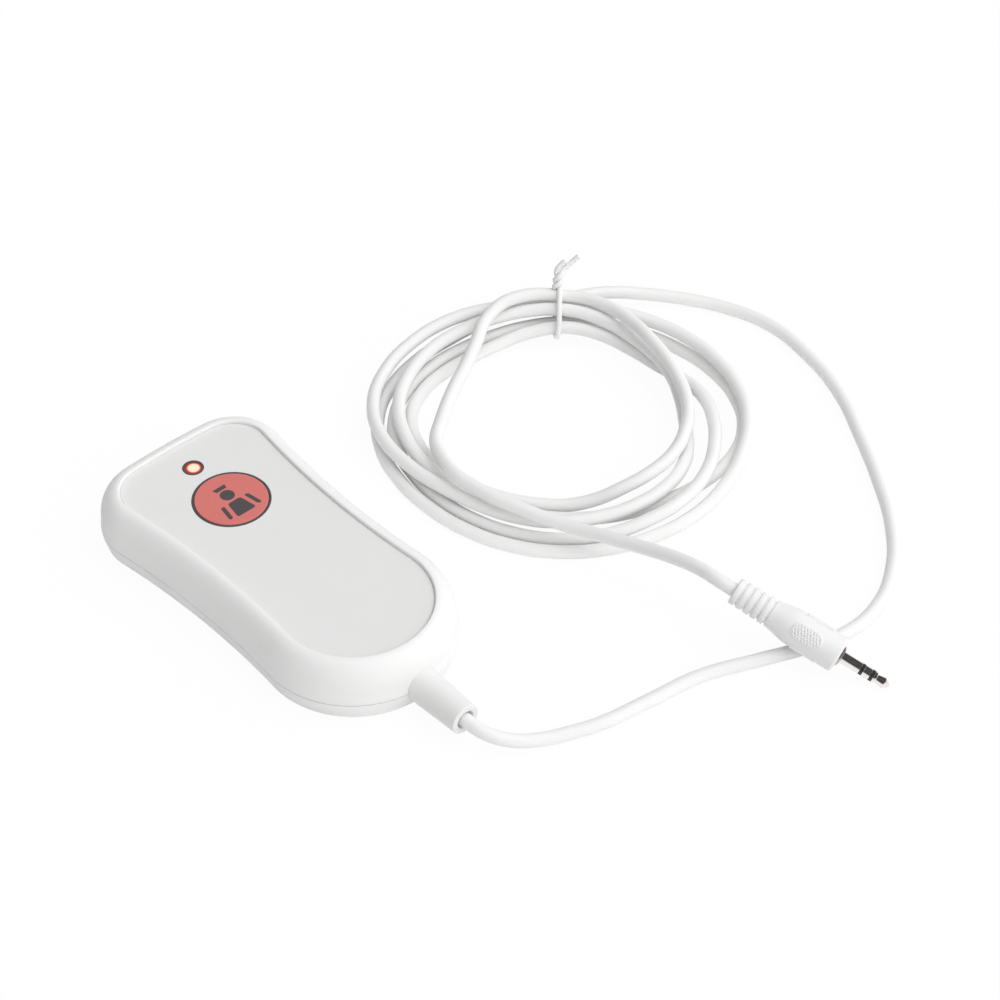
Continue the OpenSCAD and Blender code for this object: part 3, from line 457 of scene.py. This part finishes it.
# The sign: circles and rounded bars as distances in the button's own plane, in millimetres
def print_sign(mat, ink):
    n, links = mat.node_tree.nodes, mat.node_tree.links

    def solve(operation, *values):
        return maths(mat.node_tree, operation, *values)

    place = n.new("ShaderNodeTexCoord").outputs["Object"]
    split = n.new("ShaderNodeSeparateXYZ")
    links.new(place, split.inputs[0])
    x = solve("MULTIPLY", split.outputs[0], 1000)
    y = solve("MULTIPLY_ADD", split.outputs[1], 1000, -BUTTON_Y)
    z = solve("MULTIPLY_ADD", split.outputs[2], 1000, -CAP_TOP)
    side = solve("ABSOLUTE", x)

    def length(a, b):
        return solve("SQRT", solve("ADD", solve("MULTIPLY", a, a), solve("MULTIPLY", b, b)))

    def disc(cy, r):
        return solve("SUBTRACT", length(x, solve("SUBTRACT", y, cy)), r)

    def bar(px, cx, cy, w, h, r, slope=0.0):
        across = solve("MULTIPLY_ADD", solve("SUBTRACT", y, cy), slope, solve("SUBTRACT", px, cx))
        qx = solve("MAXIMUM", solve("SUBTRACT", solve("ABSOLUTE", across), w / 2 - r), 0)
        qy = solve("MAXIMUM", solve("SUBTRACT", solve("ABSOLUTE", solve("SUBTRACT", y, cy)),
                                    h / 2 - r), 0)
        return solve("SUBTRACT", length(qx, qy), r)

    head = disc(1.9, 2.2)
    widening = solve("MULTIPLY_ADD", solve("SUBTRACT", y, 5.3), -0.32, side)
    cap_sign = bar(widening, 0, 5.35, 4.0, 1.5, 0.25)
    flare = solve("MULTIPLY_ADD", solve("SUBTRACT", y, -4.2), 0.17, side)
    torso = bar(flare, 0, -4.2, 5.6, 6.2, 0.8)
    arms = bar(side, 4.75, -4.0, 1.35, 5.6, 0.65, 0.17)
    shape = solve("MINIMUM", solve("MINIMUM", head, cap_sign), solve("MINIMUM", torso, arms))
    edge = solve("DIVIDE", shape, -0.05)
    inside = solve("ADD", edge, 0.5)
    inside.node.use_clamp = True
    on_top = solve("GREATER_THAN", z, -0.05)
    mix = n.new("ShaderNodeMix")
    mix.data_type = "RGBA"
    links.new(solve("MULTIPLY", inside, on_top), mix.inputs["Factor"])
    links.new(n["grain"].outputs["Color"], mix.inputs["A"])
    mix.inputs["B"].default_value = (*ink, 1)
    links.new(mix.outputs["Result"], n["Principled BSDF"].inputs["Base Color"])


print_sign(RED, (0.095, 0.085, 0.09))

# ---------------------------------------------------------------- button_seal and lamp_bezel
# Dark rings round the cap and the lamp, with rounded crests just above the film.
for name, y, outer, inner in (("button_seal", BUTTON_Y, 11.55, 10.85),
                              ("lamp_bezel", LAMP_Y, 3.2, 2.55)):
    r = (outer - inner) / 2
    bm = bmesh.new()
    closed_turned(bm, [(q[0] * MM, q[1] * MM) for q in
                       [(inner, PLATE_H), (outer, PLATE_H), (outer, 18.75)]
                       + ellipse(inner + r, 18.75, r, 0.17, 10, 170, 8) + [(inner, 18.75)]],
                  128, Matrix.Translation((0, y * MM, 0)))
    dress(finish_mesh(bm, name + "_ring", RING, 50), "dark_ring", name)

# ---------------------------------------------------------------- lamp_lens
# Clear red lens, lit from below: pale in the middle and red towards its edge.
LENS_R, LENS_BASE_SHARE, LENS_GLOW = 2.55, 0.35, 0.7
bm = bmesh.new()
add_turned(bm, [(q[0] * MM, q[1] * MM) for q in
                [(0, 14.6), (2.5, 14.6), (2.5, 15.35), (3.7, 15.35), (3.7, 16.45), (2.53, 16.45),
                 (2.53, 18.55)] + round_corner((2.43, 18.6), 0.1, 0, 80, 4)
                + [(2 - 0.25 * i, 18.7 + 0.1 * (1 - ((2 - 0.25 * i) / 2.45) ** 2))
                   for i in range(8)] + [(0, 18.8)]],
           64, Matrix.Translation((0, LAMP_Y * MM, 0)))
LENS = material("lens_lit", (0.75, 0.09, 0.05), 0.14, 3000, 0.02, 0.001)
lens = finish_mesh(bm, "lamp_lens_lit", LENS, 50)
n, links = LENS.node_tree.nodes, LENS.node_tree.links
shift = n.new("ShaderNodeVectorMath")
shift.operation = "SUBTRACT"
shift.inputs[1].default_value = (0.0001, (LAMP_Y - 0.1) * MM, 18.75 * MM)
links.new(n.new("ShaderNodeTexCoord").outputs["Object"], shift.inputs[0])
reach = n.new("ShaderNodeVectorMath")
reach.operation = "LENGTH"
links.new(shift.outputs[0], reach.inputs[0])
share = maths(LENS.node_tree, "DIVIDE", reach.outputs["Value"], LENS_R * MM)
ramp = n.new("ShaderNodeValToRGB")
for place, colour in ((0, (1, 0.86, 0.62, 1)), (0.6, (1, 0.8, 0.66, 1)),
                      (0.72, (0.85, 0.3, 0.17, 1)), (0.82, (0.55, 0.07, 0.035, 1)),
                      (1, (0.34, 0.035, 0.022, 1))):
    stops = ramp.color_ramp.elements
    stop = stops[0] if place == 0 else stops[-1] if place == 1 else stops.new(place)
    stop.position, stop.color = place, colour
links.new(share, ramp.inputs["Fac"])
dim = n.new("ShaderNodeVectorMath")
dim.operation = "SCALE"
links.new(ramp.outputs["Color"], dim.inputs[0])
dim.inputs["Scale"].default_value = LENS_BASE_SHARE
links.new(dim.outputs[0], n["Principled BSDF"].inputs["Base Color"])
links.new(ramp.outputs["Color"], n["Principled BSDF"].inputs["Emission Color"])
n["Principled BSDF"].inputs["Emission Strength"].default_value = LENS_GLOW
dress(lens, "red_lens", "lamp_lens")

# ---------------------------------------------------------------- inner pieces
# These stay the CAD's own solids: they are inside the closed case or the plug.
carry(IVORY, "button_plunger", "board_header", "core_plug", "cord_clamp", "plug_core")
carry(BLACK, "switch_base", "switch_stem", "resistors")
carry(STEEL, "switch_cover", "switch_dome", "switch_pins", "board_screws", "clamp_screws")
carry(BOARD, "circuit_board")
carry(LED, "lamp_led")
carry(CORE, "core_wires")

# ---------------------------------------------------------------- strain_relief
# Soft white sleeve: a cone with a rounded lip round its mouth, seated in the case's tail.
bm = bmesh.new()
sleeve = ([(2.07, -3.72), (5, -3.72), (5, -2.22), (4.2, -2.22), (4.2, -1.08), (5.25, -1.08),
           (5.25, 1.1)]
          + [(5.25 - 0.62 * i / 10, 1.1 + 14.9 * i / 10) for i in range(1, 11)]
          + round_corner((4.2, 16.87), 0.42, 12, 90, 6)
          + round_corner((3.12, 16.92), 0.38, 92, 172, 6)
          + [(2.66, 16.3), (2.6, 15.9), (2.25, 15.5), (2.2, 9.3), (2.15, 9), (2.07, 8.2)])
closed_turned(bm, [(r * MM, h * MM) for r, h in sleeve], 96,
              Matrix.Translation((0, CASE_TAIL_Y * MM, RELIEF_H * MM))
              @ Matrix.Rotation(math.radians(90), 4, "X"))
relief = dress(finish_mesh(bm, "strain_relief_sleeve", SLEEVE), "soft_white", "strain_relief")

# ---------------------------------------------------------------- cord
# White jacket, 4.1 mm, on one route: from the clamp in the case through the sleeve, round
# behind the coil, five loops, over the coil and down to the plug.
CORD_D, REST_H, OFF_TABLE_SHARE = 4.1, 2.1, 0.512
COIL_MID, COIL_R, PITCH, LOOPS = (106, -3), 46, 4.6, 5
LANES = [[2.05, 1.6, 2.35, 1.95, 2.15, 2.05, 2.1, 1.4],
         [0.7, 1.8, 2.65, 0.75, 0.1, -0.35, -1.95, -1.5],
         [-0.45, 0.6, 0.95, -0.2, -0.9, -0.1, 1.9, 1.1],
         [-0.1, 0.25, 1.25, 0.9, 1.05, 1.15, -0.2, -1.2],
         [-1.2, -0.85, 0.15, -1.35, -2.1, -1.55, -1.85, -1.95]]
LAYERS = [[0.9, 0, 0, 0, 0, 0, 1.05, 1.05],
          [1.25, 1.5, 1.1, 1.05, 0.7, 1.05, 0.35, 1.05],
          [1.85, 1.3, 1.05, 0.5, 0, 0, 0, 0],
          [0.5, 0, 0, 0, 0, 0.95, 1.15, 0],
          [0.95, 0, 0, 0, 0, 1.6, 1.75, 2.65]]
LAST_LANE, LAST_LAYER, LEAD_LANE, TAIL_LANE = 0.45, 2.35, 4.2, -0.85
LEAD = [(1.5, -83.5, 6), (6.5, -88.8, 3.9), (14, -93, 2.4), (21.5, -96.2, 2.1), (29, -99, 2.1),
        (45, -102, 2.1), (62, -105, 2.1), (78, -111.5, 2.1), (91, -117, 2.1), (104, -121, 2.1),
        (118, -120, 2.1), (132.6, -113, 2.1), (146.5, -100.4, 2.1), (158, -85, 2.1),
        (169, -67.5, 2.1), (178.6, -50.3, 2.1), (184.5, -32, 2.1), (186.5, -13, 2.1),
        (182.5, 2, 2.1), (176.5, 12, 2.7), (167, 22.5, 4), (156.5, 30.8, 5.5)]
TAIL = [(125, 41, 14.2), (114, 40.7, 12.7), (104.5, 35.5, 10.8), (96, 30.5, 10.2),
        (87, 25.9, 9.2), (74.5, 17.8, 8.5), (66.5, 11, 9.1), (61.5, 1.5, 10.9),
        (59.6, -5.8, 11.8), (60.2, -12.8, 11.7), (61.6, -21, 11.6), (64.1, -28.8, 11.5),
        (67.5, -38, 11.1), (71, -47, 11.4), (74.1, -56.8, 12.8), (76.9, -66.9, 14.6),
        (78.8, -76.3, 16.6), (80, -85.8, 18.2)]
PLUG_TIP = Vector((98.8, -142.4, 1.1))
HEADING, TILT = math.radians(-69.35), math.radians(18.5)
PLUG_WAY = Vector((math.cos(HEADING) * math.cos(TILT), math.sin(HEADING) * math.cos(TILT),
                   -math.sin(TILT)))
PLUG_LEN = 50.3
PLUG_REAR = PLUG_TIP - PLUG_LEN * PLUG_WAY


def item(values, i):
    return values[max(0, min(len(values) - 1, i))]


def smooth(values, t):
    i = min(math.floor(t), len(values) - 2)
    f = t - i
    a, b, c, d = (item(values, i + k) for k in (-1, 0, 1, 2))
    return b + ((c - a) * f + (2 * a - 5 * b + 4 * c - d) * f * f
                + (3 * b - a - 3 * c + d) * f * f * f) / 2


def eased(values, t):
    i = min(math.floor(t), len(values) - 2)
    f = t - i
    return values[i] + (values[i + 1] - values[i]) * (3 - 2 * f) * f * f


lanes = [LEAD_LANE] + sum(LANES, []) + [LAST_LANE, TAIL_LANE]
layers = sum(LAYERS, []) + [LAST_LAYER]


# The coil's centre line: t counts eighths of a loop
def coil_at(t):
    a = math.radians(45 + 45 * t)
    r = COIL_R + PITCH * smooth(lanes, t + 1)
    return Vector((COIL_MID[0] + r * math.cos(a), COIL_MID[1] + r * math.sin(a),
                   REST_H + PITCH * eased(layers, t)))


route = [Vector((0, -36.9, RELIEF_H)), Vector((0, -50, RELIEF_H)), Vector((0, -64, RELIEF_H)),
         Vector((0, -76.7, RELIEF_H)), Vector((0, -78.75, RELIEF_H))]
route += [Vector(p) for p in LEAD]
route += [coil_at(t / 3) for t in range(0, 8 * LOOPS * 3 + 1)]
route += [Vector(p) for p in TAIL] + [PLUG_REAR - CORD_D * PLUG_WAY, PLUG_REAR + 3 * PLUG_WAY]


# A round cord through the points, in millimetres, whose handles keep it off the table
def cord_curve(name, points, diameter, mat, sides=8):
    cu = bpy.data.curves.new(name, "CURVE")
    cu.dimensions = "3D"
    cu.bevel_depth = diameter / 2 * MM
    cu.bevel_resolution = sides
    cu.resolution_u = 8
    cu.use_fill_caps = True
    cu.twist_mode = "MINIMUM"
    spline = cu.splines.new("BEZIER")
    spline.bezier_points.add(len(points) - 1)
    for p, q in zip(spline.bezier_points, points):
        p.co = Vector(q) * MM
        p.handle_left_type = p.handle_right_type = "AUTO"
    cu.update_tag()
    bpy.context.view_layer.update()
    for p in spline.bezier_points:
        left, right = p.handle_left.copy(), p.handle_right.copy()
        p.handle_left_type = p.handle_right_type = "FREE"
        for handle in (left, right):
            handle.z = max(handle.z, diameter * OFF_TABLE_SHARE * MM)
        p.handle_left, p.handle_right = left, right
    spline.use_smooth = True
    obj = bpy.data.objects.new(name, cu)
    scene.collection.objects.link(obj)
    cu.materials.append(mat)
    return obj


flex = cord_curve("cord_jacket_run", route, CORD_D, CORD)
dress(flex, "cord_pvc", "cord_end", "cord_lead", "cord_coil", "cord_tail")

# ---------------------------------------------------------------- coil_tie
# Plastic-coated wire, one length: a long end, a twist of both strands, the loop round the
# bundle and back through the twist to a short end. Points are (outwards, along, up).
TIE_D, TWIST_R, TIE_OFF = 1.7, 0.87, 3
TIE_FRAME = (Matrix.Translation((COIL_MID[0], COIL_MID[1], 0))
             @ Matrix.Rotation(math.radians(48), 4, "Z"))
bundle = [(COIL_R + PITCH * LANES[i][0], REST_H + PITCH * LAYERS[i][0]) for i in range(LOOPS)]
bundle.append((COIL_R + PITCH * LAST_LANE, REST_H + PITCH * LAST_LAYER))


# Where the tie's wire touches the bundle, seen along the cord
def support(angle):
    way = (math.cos(math.radians(angle)), math.sin(math.radians(angle)))
    far = max(bundle, key=lambda b: b[0] * way[0] + b[1] * way[1])
    return Vector((far[0] + TIE_OFF * way[0], 0, far[1] + TIE_OFF * way[1]))


axis_from, axis_to = Vector((49.2, 1.2, 16)), Vector((50.6, 0.7, 19.6))
axis = (axis_to - axis_from).normalized()
side_p = Vector((0, 1, 0)) - axis * axis.y
side_p.normalize()
side_q = axis.cross(side_p)
TURNS = 0.8


# One of the two strands of the twist
def strand(share, phase):
    a = phase + 2 * math.pi * TURNS * share
    return (axis_from + (axis_to - axis_from) * share
            + TWIST_R * (math.cos(a) * side_p + math.sin(a) * side_q))


first, second = math.radians(-150), math.radians(30)
loop = []
for angle in range(130, 381, 10):
    p = support(angle)
    p.y = 1.7 - 1.1 * abs(angle - 255) / 125
    if not loop or (p - loop[-1]).length > 0.9:
        loop.append(p)
wire = ([Vector((53.6, -5.6, 24.6)), Vector((53.2, -4.2, 23.4)),
         Vector((52.5, -2.4, 21.9)), Vector((51.6, -0.9, 20.7))]
        + [strand(1 - i / 12, first) for i in range(13)] + loop
        + [strand(i / 12, second) for i in range(13)]
        + [Vector((51.4, 1.2, 20.9)), Vector((52, 0.2, 22.2)), Vector((52.6, -1.3, 23.5))])
tie = cord_curve("coil_tie_wire", [TIE_FRAME @ p for p in wire], TIE_D, TIE, 6)
dress(tie, "tie_plastic", "coil_tie")

# ---------------------------------------------------------------- plug_body
# Satin white moulding over the plug: rounded front edge, bulged grip with two knurled pads
# and two flat side panels, a waist, and a boot of five ribs.
BODY_AT, BODY_LEN, BOOT_LEN, RIBS = 16.1, 22.4, 11.8, 5
FRONT_EDGE_R, STATION = 0.8, 0.14
PANEL_AT, PANEL_OUT, PANEL_SHARE = 9.1, 5.62, 0.55
TURN = Matrix.Rotation(HEADING + math.pi, 4, "Z") @ Matrix.Rotation(math.pi / 2 - TILT, 4, "Y")
ON_PLUG = Matrix.Translation(PLUG_TIP * MM) @ TURN
FORM = [(0, 5.35), (0.2, 5.34), (0.45, 5.38), (0.58, 5.4), (0.7, 5.25), (0.77, 5), (0.83, 4.72),
        (0.92, 4.28), (0.98, 4.08), (1, 4)]


def body_radius(s):
    share = max(0, min(1, s / BODY_LEN))
    for (a, ra), (b, rb) in zip(FORM, FORM[1:]):
        if share <= b:
            f = (share - a) / (b - a)
            return ra + (rb - ra) * f
    return FORM[-1][1]


def softened(s):
    return sum(body_radius(s + k * 0.35) for k in range(-3, 4)) / 7


def step(x, a, b):
    t = max(0, min(1, (x - a) / (b - a)))
    return t * t * (3 - 2 * t)


PAD_TURN = math.radians(180 - 44.3)


# The body's radius s behind its front, with the two flat side panels
def skin_point(s, turn):
    r = softened(s)
    off = math.atan2(math.sin(turn - PAD_TURN), math.cos(turn - PAD_TURN))
    for centre in (math.pi / 2, -math.pi / 2):
        d = math.atan2(math.sin(off - centre), math.cos(off - centre)) * r
        along = s - PANEL_AT
        flat = (1 - step(abs(d), 2.3, 2.6)) * (1 - step(abs(along), 4.1, 4.35))
        if flat > 0:
            level = PANEL_OUT / max(0.5, math.cos(min(1.2, abs(d) / r)))
            r += flat * (level - r) * PANEL_SHARE
    return r


# How far the rounded front edge draws the body in
def edge_point(s):
    if s >= FRONT_EDGE_R:
        return 0
    return FRONT_EDGE_R * (1 - math.sqrt(max(0, 1 - ((FRONT_EDGE_R - s) / FRONT_EDGE_R) ** 2)))


bm = bmesh.new()
turns = full_turn(144)
stations = ([FRONT_EDGE_R * (1 - math.cos(math.radians(a))) for a in range(0, 91, 15)]
            + [FRONT_EDGE_R + STATION * i
               for i in range(1, int((BODY_LEN - FRONT_EDGE_R) / STATION))])
rings = [[polar(skin_point(s, t) - edge_point(s), t, BODY_AT + s) for t in turns]
         for s in stations]
front = [[polar(r, t, BODY_AT + h) for t in turns]
         for r, h in ((2.87, 6), (2.87, 0.1), (2.97, 0))]
pitch = BOOT_LEN / RIBS
boot = []
for i in range(RIBS):
    z0 = BODY_LEN + i * pitch
    size = 4.15 - 0.05 * i
    boot += [(3.5, z0 + 0.05), (3.45, z0 + 0.5), (size - 0.12, z0 + 0.58), (size, z0 + 0.74),
             (size, z0 + 2.02), (size - 0.1, z0 + 2.18), (3.6, z0 + 2.3)]
boot += [(3.5, BODY_LEN + BOOT_LEN), (2.3, BODY_LEN + BOOT_LEN), (2.12, BODY_LEN + BOOT_LEN - 0.2),
         (2.12, BODY_LEN + BOOT_LEN - 3)]
back = [[polar(r, t, BODY_AT + h) for t in turns] for r, h in boot]
add_rings(bm, front + rings + back, ON_PLUG)

# The knurled pads: an oval patch raised 0.27 mm, with crossed rows of small diamonds
PAD_S, PAD_L, PAD_W, PAD_SKIRT = 26.73 - BODY_AT, 9.4, 4.9, 0.5
PAD_RISE, PAD_SUNK, PAD_RIM, KNURL, KNURL_H = 0.32, 0.05, 0.32, 0.85, 0.2
for turn in (PAD_TURN, PAD_TURN + math.pi):
    rows, cols = 184, 96
    patch = []
    for i in range(rows + 1):
        line = []
        for j in range(cols + 1):
            u = (i / rows - 0.5) * (PAD_L + PAD_SKIRT)
            v = (j / cols - 0.5) * (PAD_W + PAD_SKIRT)
            straight = (PAD_L - PAD_W) / 2
            over = math.hypot(max(0, abs(u) - straight), v)
            d = PAD_W / 2 - over
            lift = PAD_RISE * step(d, -0.1, 0.1) - PAD_SUNK
            if d > PAD_RIM:
                a = (u * 0.86 + v * 0.5) / KNURL
                b = (u * 0.86 - v * 0.5) / KNURL
                lift += KNURL_H * step(d, PAD_RIM, PAD_RIM + 0.16) * (
                    abs(math.sin(math.pi * a)) * abs(math.sin(math.pi * b)) * 2 - 0.9)
            s = PAD_S + u
            r = softened(s) + lift
            q = turn + v / softened(s)
            line.append(bm.verts.new(ON_PLUG @ Vector(polar(r, q, BODY_AT + s))))
        patch.append(line)
    for a, b in zip(patch, patch[1:]):
        for j in range(cols):
            bm.faces.new((a[j], a[j + 1], b[j + 1], b[j]))
body = finish_mesh(bm, "plug_body_moulding", PLUG, 40)
dress(body, "plug_pvc", "plug_body")

# ---------------------------------------------------------------- plug contacts
# Turned brass with polished nickel: collar, sleeve, ring and pointed tip, and black rings
# between them.
METAL = (
    ("plug_collar", COLLAR, "nickel",
     [(1.57, 15.2), (2.3, 15.2), (2.38, 15.26), (2.4, 15.5), (2.95, 15.5), (3.05, 15.6),
      (3.05, 16.1), (1.57, 16.1)]),
    ("jack_sleeve", NICKEL, "nickel",
     [(1.3, 9.3), (1.69, 9.3), (1.75, 9.36), (1.75, 15.2), (1.55, 15.2), (1.55, 19), (1.3, 19)]),
    ("jack_ring", NICKEL, "nickel",
     [(0.8, 6.1), (1.69, 6.1), (1.75, 6.16), (1.75, 8.24), (1.69, 8.3), (0.8, 8.3)]),
    ("jack_tip", NICKEL, "nickel",
     [(0, 0), (0.3, 0.05), (0.5, 0.2), (1.5, 1.5), (1.6, 1.72), (1.63, 1.95), (1.55, 2.3),
      (1.3, 3.9), (1.27, 4.1), (1.4, 4.25), (1.72, 4.38), (1.75, 4.45), (1.75, 5.05), (1.7, 5.1),
      (0.5, 5.1), (0.5, 20), (0, 20)]))
for name, mat, slot_name, profile in METAL:
    bm = bmesh.new()
    line = [(r * MM, h * MM) for r, h in profile]
    if profile[0][0] == 0:
        add_turned(bm, line, 96, ON_PLUG)
    else:
        closed_turned(bm, line, 96, ON_PLUG)
    dress(finish_mesh(bm, name + "_turned", mat, 30), slot_name, name)
bm = bmesh.new()
for at, inner in ((5.1, 0.52), (8.3, 1.02)):
    part = bmesh.new()
    closed_turned(part, [(r * MM, h * MM) for r, h in
                         [(inner, at), (1.68, at), (1.71, at + 0.06), (1.71, at + 0.94),
                          (1.68, at + 1), (inner, at + 1)]], 96, ON_PLUG)
    me = bpy.data.meshes.new("part")
    part.to_mesh(me)
    part.free()
    bm.from_mesh(me)
    bpy.data.meshes.remove(me)
dress(finish_mesh(bm, "jack_insulators_rings", BLACK, 30), "black_plastic", "jack_insulators")

# ---------------------------------------------------------------- floor, light and camera
# White table top: the camera sees it nearly evenly lit, with a faint shadow of the object.
# The sky grows along SKY_SLOPE; shiny things see a dark ceiling over a white horizon.
TABLE_WHITE, TABLE_GLOW_SHARE = 0.96, 0.94
SKY_SLOPE, SKY_LEVEL = (0.37, -0.66, 0.92), 0.26
HORIZON_TOP, CEILING_FROM, CEILING_LEVEL = 0.2, 0.32, 0.07
bm = bmesh.new()
bmesh.ops.create_grid(bm, x_segments=8, y_segments=8, size=4)
bmesh.ops.translate(bm, vec=(0, 0, -0.00003), verts=bm.verts)
TABLE = bpy.data.materials.new("table_white")
TABLE.use_nodes = True
n, links = TABLE.node_tree.nodes, TABLE.node_tree.links
n.remove(n["Principled BSDF"])
lit = n.new("ShaderNodeBsdfDiffuse")
lit.inputs["Color"].default_value = (TABLE_WHITE, TABLE_WHITE, TABLE_WHITE, 1)
glow = n.new("ShaderNodeEmission")
glow.inputs["Color"].default_value = (1, 1, 1, 1)
glow.inputs["Strength"].default_value = 1.0
ray = n.new("ShaderNodeLightPath")
seen = maths(TABLE.node_tree, "MAXIMUM", ray.outputs["Is Camera Ray"],
             ray.outputs["Is Glossy Ray"])
mix = n.new("ShaderNodeMixShader")
links.new(maths(TABLE.node_tree, "MULTIPLY", seen, TABLE_GLOW_SHARE), mix.inputs["Fac"])
links.new(lit.outputs[0], mix.inputs[1])
links.new(glow.outputs[0], mix.inputs[2])
links.new(mix.outputs[0], n["Material Output"].inputs["Surface"])
table = finish_mesh(bm, "table_top", TABLE)

world = bpy.data.worlds.new("studio")
scene.world = world
world.use_nodes = True
n, links = world.node_tree.nodes, world.node_tree.links
soft = n["Background"]
soft.inputs["Color"].default_value = (1, 1, 1, 1)
way = n.new("ShaderNodeTexCoord")
slope = n.new("ShaderNodeVectorMath")
slope.operation = "DOT_PRODUCT"
slope.inputs[1].default_value = SKY_SLOPE
links.new(way.outputs["Generated"], slope.inputs[0])
links.new(maths(world.node_tree, "ADD", slope.outputs["Value"], SKY_LEVEL),
          soft.inputs["Strength"])
white = n.new("ShaderNodeBackground")
white.inputs["Color"].default_value = (1, 1, 1, 1)
white.inputs["Strength"].default_value = 1.0
mirror = n.new("ShaderNodeBackground")
split = n.new("ShaderNodeSeparateXYZ")
links.new(way.outputs["Generated"], split.inputs[0])
ceiling = n.new("ShaderNodeMapRange")
ceiling.inputs["From Min"].default_value = HORIZON_TOP
ceiling.inputs["From Max"].default_value = CEILING_FROM
ceiling.inputs["To Min"].default_value = 1.0
ceiling.inputs["To Max"].default_value = CEILING_LEVEL
links.new(split.outputs["Z"], ceiling.inputs["Value"])
links.new(ceiling.outputs["Result"], mirror.inputs["Strength"])
ray = n.new("ShaderNodeLightPath")
by_gloss = n.new("ShaderNodeMixShader")
links.new(ray.outputs["Is Glossy Ray"], by_gloss.inputs["Fac"])
links.new(soft.outputs[0], by_gloss.inputs[1])
links.new(mirror.outputs[0], by_gloss.inputs[2])
by_camera = n.new("ShaderNodeMixShader")
links.new(ray.outputs["Is Camera Ray"], by_camera.inputs["Fac"])
links.new(by_gloss.outputs[0], by_camera.inputs[1])
links.new(white.outputs[0], by_camera.inputs[2])
links.new(by_camera.outputs[0], n["World Output"].inputs["Surface"])

AIM = Vector((56.95, -27.96, 18.8)) * MM
AZ, EL, CAMERA_AWAY = math.radians(-42.33), math.radians(43.5), 0.79965
TOWARDS = Vector((math.sin(AZ) * math.cos(EL), -math.cos(AZ) * math.cos(EL), math.sin(EL)))


def look_at_aim(obj, way, distance):
    scene.collection.objects.link(obj)
    obj.location = AIM + way.normalized() * distance
    obj.rotation_mode = "QUATERNION"
    obj.rotation_quaternion = way.to_track_quat("Z", "Y")


soft_key = bpy.data.lights.new("key", "AREA")
soft_key.shape, soft_key.size, soft_key.energy = "SQUARE", 1.2, 5
key = bpy.data.objects.new("key", soft_key)
key.visible_glossy = False
look_at_aim(key, Vector((0.25, -0.36, 0.9)), 1.6)

camera = bpy.data.cameras.new("camera")
camera.lens, camera.sensor_width, camera.sensor_fit = 100, 36, "HORIZONTAL"
camera.clip_start, camera.clip_end = 0.01, 20
eye = bpy.data.objects.new("camera", camera)
look_at_aim(eye, TOWARDS, CAMERA_AWAY)
scene.camera = eye
scene.view_settings.view_transform = "Standard"
